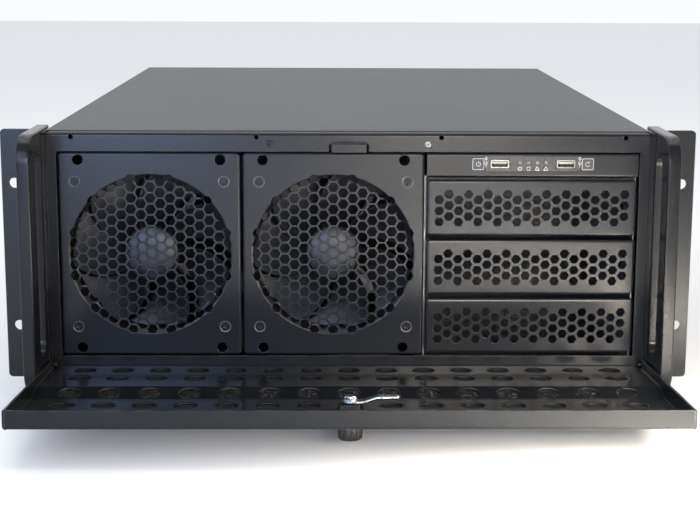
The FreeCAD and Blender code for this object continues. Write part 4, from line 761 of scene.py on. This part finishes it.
for side in ("left", "right"):
    frame_low, frame_high, middle = box_mm("fan_frame_" + side)
    centre = middle * [1, 0, 1]
    near, far = box_mm("fan_rotor_" + side)[0][1], frame_high[1] - 5.6
    hub = turned([(6.0, -near), (17.4, -near), (18.2, -near - 0.25), (19.3, -near - 1.0),
                  (19.9, -near - 2.2), (20.0, -near - 4.0), (20.0, -far), (19.0, -far - 0.1)], 72)
    parts = [hub] + [blade(near, far, 2 * math.pi * k / BLADES) for k in range(BLADES)]
    solid_piece("fan_rotor_moulded_" + side, all_down(parts, centre, FRONT), blade_plastic, "rotor_" + side,
                "fan_rotor_" + side, 55)
    # A thin, lighter disc on the hub's face: painted sheen, standing in for light on the satin hub.
    sheen_disc = turned([(6.0, 0.12 - near), (17.3, 0.12 - near), (17.4, 0.05 - near), (17.4, -near - 0.2),
                    (6.0, -near - 0.2)], 72)
    solid_piece("fan_hub_painted_sheen_" + side, all_down([sheen_disc], centre, FRONT), hub_sheen_paint, "rotor_" + side,
                crease=40)

    t = turns(120)
    square = 60.0 / (np.abs(np.cos(t)) ** 22 + np.abs(np.sin(t)) ** 22) ** (1 / 22)
    y0, y1 = -frame_low[1], -frame_high[1]
    full = np.minimum(square, 84)
    rows = [(58.8, y0 - 2.0), (59.3, y0 - 0.8), (59.9, y0 - 0.2), (np.minimum(square - 0.3, 84), y0 - 0.15),
            (full, y0 - 0.6), (full, y0 - 4.0), (60.6, y0 - 4.2), (60.6, y1 + 4.2), (full, y1 + 4.0),
            (full, y1 + 0.2), (59.9, y1 + 0.05), (58.8, y1 + 1.5)]
    tube = np.concatenate([np.stack([r * np.cos(t), r * np.sin(t), np.full(120, h)], 1) for r, h in rows])
    housing = (tube, grid_faces(len(rows), 120, wrap_rows=True, wrap_columns=True, flip=True))
    motor = turned([(19.4, y1 + 5.2), (20.6, y1 + 4.6), (21.0, y1 + 3.8), (21.0, y1 + 0.6), (20.4, y1),
                    (6.0, y1)], 64)
    lane = np.linspace(MOTOR_R, STRUT_END_R, 16)[:, None]
    lap = turns(24)[None, :]
    bent = np.radians(14.0) * ((lane - MOTOR_R) / (STRUT_END_R - MOTOR_R)) ** 1.5
    half_w, half_d = 2.5 * squared(np.cos(lap), 0.4), 2.4 * squared(np.sin(lap), 0.4) + y1 + 2.5
    struts = []
    for k in range(4):
        way = math.radians(45 + 90 * k) + bent
        strut = np.stack(np.broadcast_arrays(lane * np.cos(way) - half_w * np.sin(way),
                                             lane * np.sin(way) + half_w * np.cos(way), half_d), -1)
        struts.append((strut.reshape(-1, 3), tube_faces(16, 24)))
    parts = all_down([housing, motor] + struts, centre, FRONT)
    solid_piece("fan_frame_moulded_" + side, parts, fan_plastic, "case", "fan_frame_" + side,
                40)

# ---- Handles: loop handles at both ears ---------------------------------------------------------
# Die-cast aluminium: a wide band, soft at its edges, runs round a thinner web with a long grip
# slot, and a foot bar is screwed to the ear from behind. Powder coated like the case, in a copy
# whose darker base colour is painted shade.


def soft_section(a0, a1, b0, b1, run, steps=5):
    """A rectangle between two corners whose own corners are parabolas of a given run."""
    closed = [(a0 + run, b0, 0), (a1, b0, run), (a1, b1, run), (a0, b1, run), (a0, b0, run),
              (a0 + run, b0, 0)]
    return eased_path(closed, steps)[1:]


def carried(path, ways_a, ways_b, section):
    """A closed section carried along a path: path point plus a times the first way plus b times
    the second, with both ends closed."""
    path, ways_a, ways_b = (np.asarray(v, float) for v in (path, ways_a, ways_b))
    points = path[:, None] + section[None, :, :1] * ways_a[:, None] + section[None, :, 1:] * ways_b[:, None]
    return points.reshape(-1, 3), tube_faces(*points.shape[:2])


# A darker copy of the case's coat: its base colour is painted shade on the handles.
shaded_handle_coat = coated_steel("powder_coat_casting_painted_shade", "#111214", "#8b8c8c", 0.20, 0.9, 0.03, 0.4, ior=1.33)
for side, sign in (("left", -1), ("right", 1)):
    low, high, middle = box_mm("handle_" + side)
    inner_x, outer_x = (high[0], low[0]) if sign < 0 else (low[0], high[0])
    width = abs(outer_x - inner_x)
    z0, z1, y0, y1 = low[2], high[2], low[1], high[1]
    line = eased_path([(y1, z1, 0), (y0, z1, 18.5), (y0, z0, 18.5), (0.0, z0, 0)], 15)
    line = np.vstack([line[:1], [[0.5 * y1, z1], [0.0, z1], [-8.0, z1]], line[1:]])
    run = np.concatenate([[0], np.cumsum(np.hypot(*np.diff(line, axis=0).T))])
    way = np.gradient(line, run, axis=0)
    way /= np.hypot(*way.T)[:, None]
    path = np.column_stack([np.full(len(line), inner_x), line])
    inward = np.column_stack([np.zeros(len(line)), -way[:, 1], way[:, 0]])
    band_part = carried(path, [[sign, 0, 0]] * len(line), inward, soft_section(0.0, width, 0.0, 3.0, 1.3))
    foot_path = [[inner_x, -3.1, z] for z in np.linspace(z0 + 1.2, z1 - 1.2, 6)]
    foot = carried(foot_path, [[sign, 0, 0]] * 6, [[0, 1, 0]] * 6, soft_section(0.0, width, -3.0, 3.1, 1.2))
    heel_path = [[inner_x, 4.0, z] for z in np.linspace(60.0, z1 - 2.6, 4)]
    heel = carried(heel_path, [[sign, 0, 0]] * 4, [[0, 1, 0]] * 4, soft_section(0.1, 2.6, -7.0, 7.0, 0.5))
    solid_piece("handle_band_" + side, [outward(part) for part in (band_part, foot, heel)], shaded_handle_coat,
                "case", "handle_" + side, 40)

    web_line = eased_path([(-5.0, z0 + 2.2, 0), (y0 + 2.0, z0 + 2.2, 16.0), (y0 + 2.0, z1 - 2.2, 16.0),
                           (-5.0, z1 - 2.2, 0)], 12)
    turn_in = np.radians(np.linspace(0, 180, 15))
    grip_low = np.stack([-18.0 + 9.5 * np.cos(turn_in), -88.5 + 29.5 - 9.5 * np.sin(turn_in)], 1)
    grip_high = np.stack([-18.0 - 9.5 * np.cos(turn_in), 73.5 - 9.5 + 9.5 * np.sin(turn_in)], 1)
    grip_slot = np.vstack([grip_low, grip_high])

    def web_form(y, z, depth, x=inner_x, s=sign):
        """A flat plate: the first skin on the handle's inner side, the second one depth outward."""
        return np.stack([np.full(len(y), x + s * (0.25 + depth)), y, z], 1)

    web = sheet_piece("handle_web_" + side, [web_line, grip_slot], [], web_form, 4.75, shaded_handle_coat, "case")
    web.data.polygons.foreach_set("use_smooth", np.full(len(web.data.polygons), True))
    settle(rounded_edges(web, 1.1, 4), crease=40)
    if sign > 0:
        web.data.flip_normals()

# ---- Screws and rivets: cross-recessed steel ----------------------------------------------------
# Cold-headed steel in black oxide; the right strip screw has lost its colour. The grille screws sit
# flush in a countersunk ring drawn in light steel grey, a painted highlight of the coated chamfer,
# the others have pan heads, and two rivets hinge the door.
black_oxide = finish_of("black_oxide_screw", "#101011", "#1e1e20", 0.34, 0.6, 0.9, 0.04, "#a8a8a6", 0.25)
# Light steel grey: the right strip screw's own colour, and a painted highlight on the grille screw rings.
steel_and_highlight_finish = finish_of("bared_steel_and_painted_highlight", "#6a6c6b", "#868887", 0.32, 0.8, 1.0, 0.04, "#b6b8b6", 0.2)
RIGHT_SIDE, LEFT_SIDE = [[0, 1, 0], [0, 0, 1], [1, 0, 0]], [[0, 0, 1], [0, 1, 0], [-1, 0, 0]]
BACK = [[0, 0, 1], [1, 0, 0], [0, 1, 0]]


def cross_screw(arm, rows, turn):
    """A turned screw with a cross recess. Along a direction t the recess reaches the larger of two
    arms: the smaller of length over |cos t| and half width over |sin t|, and the same with cos and
    sin exchanged. Rows are (share of the recess outline, radius, height)."""
    t = turns(64)
    c, s = np.maximum(np.abs(np.cos(t)), 1e-3), np.maximum(np.abs(np.sin(t)), 1e-3)
    outline = np.maximum(np.minimum(arm / c, 0.25 * arm / s), np.minimum(arm / s, 0.25 * arm / c))
    radius = np.stack([row[0] * outline + row[1] for row in rows])
    return polar(radius, np.array([[row[2]] for row in rows]), turn)


def pan_head(radius, high, shank, foot):
    """Rows of a pan head: recess floor, recess mouth, a crown of falling circles, then the shank."""
    arm = 0.56 * radius
    fall = ((0.70, 0.97), (0.84, 0.88), (0.94, 0.72), (0.99, 0.5), (1.0, 0.2), (0.99, 0))
    crown = [(0, radius * r, high * h) for r, h in fall]
    return arm, [(0.45, 0, -high * 0.5), (0.85, 0, -high * 0.2), (1, 0, high), *crown, (0, shank, 0),
                 (0, shank, -foot), (0, shank - 0.5, -foot - 0.3)]


def flat_head(radius, shank, foot):
    """Rows of a countersunk head that ends flush, its cone and its shank."""
    arm = 0.6 * radius
    return arm, [(0.45, 0, -1.3), (0.8, 0, -1.0), (1, 0, -0.12), (0, radius * 0.78, -0.1),
                 (0, radius * 0.96, -0.12), (0, radius, -0.3), (0, shank, -2.2), (0, shank, -foot),
                 (0, shank - 0.5, -foot - 0.3)]


def screw_set(name, node, material, head, places):
    """Equal screws at several (place, ways, turn); the piece stands in for a node if one is given."""
    screws = [set_down(cross_screw(*head, turn), place, ways) for place, ways, turn in places]
    solid_piece(name, screws, material, "case", node, 38)


SCREW_RING = [(1.0, -1.7), (3.35, -1.7), (3.42, -0.35), (3.9, 0.02), (4.02, 0.0), (4.02, -1.9), (3.3, -2.0)]
for side in ("left", "right"):
    low, high, middle = box_mm("fan_panel_" + side)
    spots = [(middle[0] + a * SCREW_AT, low[1], middle[2] + b * SCREW_AT) for a, b in quarters]
    screw_set("grille_screws_" + side, "fan_screws_" + side, black_oxide,
              flat_head(3.45, 1.95, 6.2), [(spot, FRONT, 0.4 + 0.9 * k) for k, spot in enumerate(spots)])
    # The ring's light steel grey is a painted highlight: the coated chamfer catching light from above.
    rims = [set_down(turned(SCREW_RING), spot, FRONT) for spot in spots]
    solid_piece("grille_screw_rings_" + side, rims, steel_and_highlight_finish, "case", crease=SMOOTH)

STRIP_R, STRIP_FACE = 2.5, 12.0
strip_head = pan_head(STRIP_R, 0.9, 1.4, 2.8)
low, high, middle = box_mm("strip_screws")
screw_set("strip_screw_left", "strip_screws", black_oxide, strip_head,
          [((low[0] + STRIP_R, STRIP_FACE, middle[2]), FRONT, 0.3)])
screw_set("strip_screw_right", None, steel_and_highlight_finish, strip_head,
          [((high[0] - STRIP_R, STRIP_FACE, middle[2]), FRONT, 0.75)])
SIDE_R, SIDE_HIGH = 3.4, 1.4
side_head = pan_head(SIDE_R, SIDE_HIGH, 1.9, 2.6)
side_ways = ((-1, LEFT_SIDE), (1, RIGHT_SIDE))
low, high, middle = box_mm("cover_screws")
screw_set("cover_screws_headed", "cover_screws", black_oxide, side_head,
          [((sign * (high[0] - SIDE_HIGH), y, middle[2]), ways, 0.3 * k) for sign, ways in side_ways
           for k, y in enumerate((low[1] + SIDE_R, middle[1], high[1] - SIDE_R))])
low, high, middle = box_mm("ear_screws")
screw_set("ear_screws_headed", "ear_screws", black_oxide, side_head,
          [((sign * (high[0] - SIDE_HIGH), middle[1], z), ways, 0.5 * k) for sign, ways in side_ways
           for k, z in enumerate((low[2] + SIDE_R, middle[2], high[2] - SIDE_R))])
HANDLE_SCREW_X, HANDLE_SCREW_HIGH = 218.4, 1.8
low, high, middle = box_mm("handle_screws")
head_r = high[0] - HANDLE_SCREW_X
screw_set("handle_screws_headed", "handle_screws", black_oxide,
          pan_head(head_r, HANDLE_SCREW_HIGH, 1.5, 6.8),
          [((sign * HANDLE_SCREW_X, high[1] - HANDLE_SCREW_HIGH, z), BACK, 0.2 * k)
           for sign in (-1, 1) for k, z in enumerate((low[2] + head_r, high[2] - head_r))])
RIVET_LONG = 7.0
for side, sign, ways in (("left", -1, LEFT_SIDE), ("right", 1, RIGHT_SIDE)):
    points, faces = turned([(1.0, RIVET_LONG), (2.4, 6.6), (3.2, 5.9), (3.5, 5.2), (3.4, 5.0), (1.95, 5.0),
                            (1.95, 0.3), (1.6, 0.0)])
    low, high, middle = box_mm("hinge_pin_" + side)
    rivet = (points * [1, 1, (high[0] - low[0]) / RIVET_LONG], faces)
    inner = low[0] if sign > 0 else high[0]
    solid_piece("hinge_rivet_" + side, all_down([rivet], (inner, HINGE_Y, HINGE_Z), ways), black_oxide,
                "case", "hinge_pin_" + side, 38)

# ---- Control strip: keys, two ports, four lamps and a printed film ------------------------------
# A matt black polyester film lies on the folded panel. Keys are moulded ABS, the ports are drawn
# nickel-plated shells round a white tongue with gilt contacts, the lamps are frosted lenses.
film = finish_of("polyester_film_black", "#111214", "#17181a", 0.30, 0.0, 5.0, 0.004, "#2c2d30", 0.2)
ink = finish_of("screen_printed_ink", "#c6c6c2", "#dededa", 0.55, 0.0, 0.8, 0.02, "#ffffff", 0.05)
key_plastic = finish_of("moulded_abs_key", "#1a1b1d", "#232427", 0.42, 0.0, 1.0, 0.03, "#4a4b4e", 0.3)
nickel = finish_of("nickel_plated_shell", "#c9c6bf", "#aaa79f", 0.24, 1.0, 1.5, 0.03, "#ffffff", 0.2)
tongue_white = finish_of("moulded_nylon_tongue", "#c4c4bb", "#b0b0a6", 0.45, 0.0, 1.2, 0.02, "#ffffff", 0.1)
gilt = finish_of("gilt_contact", "#d9ab52", "#c4923b", 0.25, 1.0, 0.8, 0.02, "#ffe6a8", 0.1)
lens = finish_of("frosted_lamp_lens", "#5d605e", "#737674", 0.38, 0.0, 0.7, 0.03, "#a8aaa8", 0.2)


def soft_block(half_a, half_b, rows, power=9.0, columns=48):
    """A stack of superellipse rows, |a/A|^p + |b/B|^p = 1, each grown by its own amount."""
    a, b = squared(np.cos(turns(columns)), 2 / power), squared(np.sin(turns(columns)), 2 / power)
    points = np.concatenate([np.stack([(half_a + grow) * a, (half_b + grow) * b, np.full(columns, h)], 1)
                             for grow, h in rows])
    return points, tube_faces(len(rows), columns)


def stroke(path, width, high=0.03):
    """A printed line: a thin bar of ink carried along a path of (a, b) places."""
    path = np.array(path, float)
    way = np.gradient(path, axis=0)
    way /= np.hypot(*way.T)[:, None]
    flat = np.column_stack([path, np.zeros(len(path))])
    beside = np.column_stack([-way[:, 1], way[:, 0], np.zeros(len(path))])
    section = np.array([(-width / 2, 0), (width / 2, 0), (width / 2, high), (-width / 2, high)])
    return carried(flat, beside, [[0, 0, 1]] * len(path), section)


def sign_at(paths, width, x, z):
    """The printed lines of one sign, moved to a place on the film."""
    return [stroke(np.array(path, float) + [x, z], width) for path in paths]


def arc_path(radius, start, sweep):
    """Places on a circle from a start angle through a sweep, both in degrees."""
    t = np.radians(np.linspace(start, start + sweep, 20))
    return np.stack([radius * np.cos(t), radius * np.sin(t)], 1)


def frame_path(half, run=0.8):
    """A closed square path with eased corners, begun and ended in the middle of a side."""
    return eased_path([(0, half, 0), (half, half, run), (half, -half, run), (-half, -half, run),
                       (-half, half, run), (0, half, 0)], 5)


FILM_T, FILM_HIGH, PORT_GAP = 0.15, 10.4, 0.3
panel_face = box_mm("control_panel")[0][1]
key_signs = {"power": [arc_path(1.5, 125, 290), [(0, 0.4), (0, 1.2), (0, 2.0)]],
             "reset": [arc_path(1.5, 60, 270), [(0.2, 0.5), (0.8, 1.25), (1.5, 1.9)]]}
keys = {}
for key, paths in key_signs.items():
    low, high, middle = box_mm(key + "_button")
    half, deep = (high[0] - low[0]) / 2, low[1] - high[1]
    keys[key] = place = (middle[0], low[1], middle[2])
    cap = soft_block(half, half, [(-1.2, 0.0), (-0.5, -0.03), (-0.15, -0.15), (0, -0.5), (0, deep)])
    solid_piece(key + "_key_cap", all_down([cap], place, FRONT), key_plastic, key + "_key",
                key + "_button", 50)
    lines = [stroke(path, 0.3) for path in paths] + [stroke(frame_path(half - 0.25), 0.36)]
    solid_piece(key + "_key_sign", all_down(lines, place, FRONT), ink, key + "_key")


def upright(low_x, low_z, high_x, high_z):
    """The four corners of a rectangle on the panel."""
    return np.array([(low_x, low_z), (high_x, low_z), (high_x, high_z), (low_x, high_z)])


ports = {side: box_mm("usb_port_" + side) for side in ("left", "right")}
LAMP_R = 1.5
low, high, middle = box_mm("status_lamps")
lamp_z = middle[2]
lamp_xs = np.linspace(low[0] + LAMP_R, high[0] - LAMP_R, 4).tolist()
film_x, film_z = (keys["reset"][0] + keys["power"][0]) / 2, keys["power"][2] + 0.2
film_half = (keys["reset"][0] - keys["power"][0]) / 2 - 5.4
film_loops = [upright(film_x - film_half, film_z - FILM_HIGH / 2,
                      film_x + film_half, film_z + FILM_HIGH / 2)]
film_loops += [upright(low[0] - PORT_GAP, low[2] - PORT_GAP, high[0] + PORT_GAP, high[2] + PORT_GAP)
               for low, high, middle in ports.values()]
film_loops += [ring(x, lamp_z, LAMP_R + 0.25, 24) for x in lamp_xs]


def film_form(x, z, depth):
    """A flat film whose back skin lies on the panel."""
    return np.stack([x, np.full(len(x), panel_face - FILM_T + depth), z], 1)


settle(sheet_piece("control_film", film_loops, [], film_form, FILM_T, film, "case"))

port_sign = [[(0, -3.4), (0, 0), (0, 2.6)], frame_path(0.7, 0.3) + [0, 3.0],
             [(0, -1.6), (-1.1, -0.6), (-1.1, 0.6)], [(0, -1.6), (1.1, -0.6), (1.1, 0.6)]]
round_sign = [arc_path(1.3, 130, 280), [(0, 0), (0, 0.7), (0, 1.4)]]
box_sign = [frame_path(1.2, 1.1), [(-0.9, -1.3), (0, -1.3), (0.9, -1.3)]]
peak_sign = [[(-1.5, -1.2), (0, 1.4), (1.5, -1.2)], [(-1.5, -1.2), (0, -1.2), (1.5, -1.2)]]
prints = sign_at(port_sign, 0.3, ports["left"][0][0] - 3.2, lamp_z)
prints += sign_at(port_sign, 0.3, ports["right"][1][0] + 3.2, lamp_z)
lamp_signs = ((round_sign, 0.36), (box_sign, 0.36), (peak_sign, 0.42), (peak_sign, 0.42))
for x, (paths, width) in zip(lamp_xs, lamp_signs):
    prints += sign_at(paths, width, x, lamp_z - 4.2)
solid_piece("control_film_print", all_down(prints, (0, panel_face - FILM_T, 0), FRONT), ink, "case")

dome = turned([(0.5, 0.42), (0.95, 0.36), (1.3, 0.2), (LAMP_R, -0.1), (LAMP_R, -3.0), (1.0, -3.1)], 28)
solid_piece("status_lamp_lenses", [set_down(dome, (x, panel_face - 0.1, lamp_z), FRONT) for x in lamp_xs],
            lens, "case", "status_lamps", 38)
for side, (low, high, middle) in ports.items():
    half_a, half_b, deep = (high[0] - low[0]) / 2, (high[2] - low[2]) / 2, low[1] - high[1]
    place = (middle[0], low[1], middle[2])
    rows = [(-0.62, 0.0), (-0.2, 0.0), (0.0, -0.25), (0.0, deep), (-0.62, deep)]
    shell = (soft_block(half_a, half_b, rows, 10.0)[0],
             grid_faces(5, 48, wrap_rows=True, wrap_columns=True, flip=True))
    back = soft_block(half_a - 0.4, half_b - 0.4, [(0, -6.4), (0, -6.8)], 10.0)
    tongue, tongue_faces = soft_block(half_a - 1.3, 0.62, [(-0.25, -0.5), (0, -0.7), (0, -6.6)], 10.0)
    pad, pad_faces = soft_block(0.5, 0.06, [(0, -0.9), (0, -5.5)], 6.0, 16)
    pads = [(pad + [-3.3 + 2.2 * k, -0.1, 0], pad_faces) for k in range(4)]
    for name, parts, material, node, crease in (
            ("port_shell_", [shell], nickel, "usb_port_" + side, 38),
            ("port_back_", [back], key_plastic, None, None),
            ("port_tongue_", [(tongue + [0, 0.9, 0], tongue_faces)], tongue_white, None, 40),
            ("port_contacts_", pads, gilt, None, None)):
        solid_piece(name + side, all_down(parts, place, FRONT), material, "case", node,
                    crease)

# ---- Inside and back: cage, divider, board and slot covers --------------------------------------
# The drive cage, expansion slot covers and card bar are galvanised sheet; the divider is powder
# coated; the key board is green epoxy glass on brass pillars with black switches.
galvanised = finish_of("galvanised_sheet", "#8f9496", "#aab0b2", 0.38, 0.85, 9.0, 0.03, "#d8dcde", 0.4)
epoxy_glass = finish_of("epoxy_glass_board", "#1d4a2c", "#275b38", 0.35, 0.0, 2.0, 0.03, "#5c8a68", 0.2)
brass = finish_of("turned_brass", "#b9923f", "#a07c30", 0.30, 1.0, 1.2, 0.03, "#f0d890", 0.2)
dress(galvanised, "drive_cage", "card_bar", *["slot_cover_%d" % i for i in range(1, 8)])
dress(powder, "partition")
dress(epoxy_glass, "control_board")
dress(brass, "board_standoffs")
dress(key_plastic, "button_switches")
